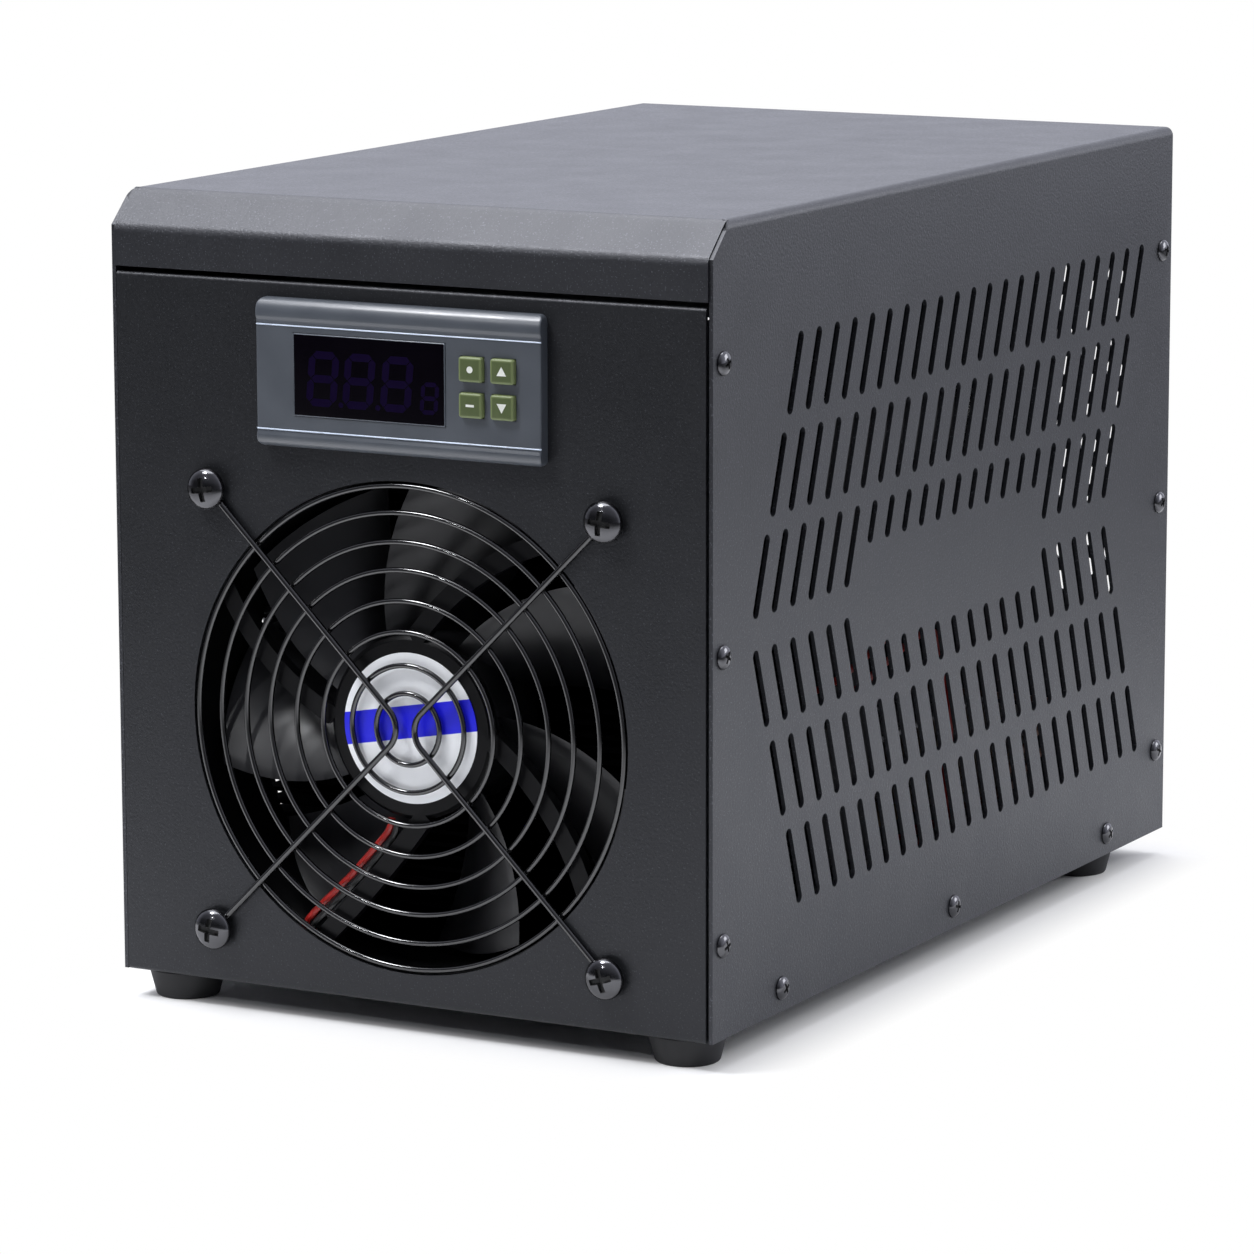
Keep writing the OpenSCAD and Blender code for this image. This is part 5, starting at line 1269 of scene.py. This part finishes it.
class CHILLER_OT_stage(Add):
    """Set up the floor, the lamps and the camera"""

    bl_idname = "chiller.stage"
    bl_label = "Studio"

    def execute(self, context):
        scene = context.scene
        scene.view_settings.view_transform = "Standard"
        add_floor(scene.chiller_colours, scene.chiller_case)
        add_world()
        for lamp in LAMPS:
            add_lamp(*lamp)
        data = bpy.data.cameras.new("camera")
        data.lens, data.sensor_width, data.sensor_fit = CAMERA_LENS, 36, "HORIZONTAL"
        data.clip_start, data.clip_end = 0.05, 20
        camera = bpy.data.objects.new("camera", data)
        scene.collection.objects.link(camera)
        scene.camera = camera
        point_at(camera, CAMERA_PLACE, CAMERA_AIM, CAMERA_ROLL)
        return {"FINISHED"}


class CHILLER_PT_panel(bpy.types.Panel):
    """Buttons that make the chiller's pieces"""

    bl_idname = "CHILLER_PT_panel"
    bl_label = "Aquarium chiller"
    bl_space_type = "VIEW_3D"
    bl_region_type = "UI"
    bl_category = "Chiller"

    def draw(self, context):
        for step in STEPS:
            self.layout.operator(step.bl_idname)
        for group in SETTINGS:
            box = self.layout.box()
            for key in SETTINGS[group].__annotations__:
                box.prop(getattr(context.scene, group), key)


SETTINGS = {
    "chiller_case": ChillerCase,
    "chiller_fan": ChillerFan,
    "chiller_guard": ChillerGuard,
    "chiller_thermostat": ChillerThermostat,
    "chiller_colours": ChillerColours,
}
STEPS = (
    CHILLER_OT_finishes, CHILLER_OT_sheets, CHILLER_OT_case, CHILLER_OT_fan,
    CHILLER_OT_guard, CHILLER_OT_thermostat, CHILLER_OT_stage,
)


def register():
    for name, group in SETTINGS.items():
        bpy.utils.register_class(group)
        setattr(bpy.types.Scene, name, bpy.props.PointerProperty(type=group))
    for kind in (*STEPS, CHILLER_PT_panel):
        bpy.utils.register_class(kind)


def unregister():
    for kind in (CHILLER_PT_panel, *reversed(STEPS)):
        bpy.utils.unregister_class(kind)
    for name, group in reversed(SETTINGS.items()):
        delattr(bpy.types.Scene, name)
        bpy.utils.unregister_class(group)


def main():
    register()
    bpy.ops.chiller.finishes()
    bpy.ops.chiller.sheets()
    bpy.ops.chiller.case()
    bpy.ops.chiller.fan()
    bpy.ops.chiller.guard()
    bpy.ops.chiller.thermostat()
    bpy.ops.chiller.stage()


if __name__ == "__main__":
    main()
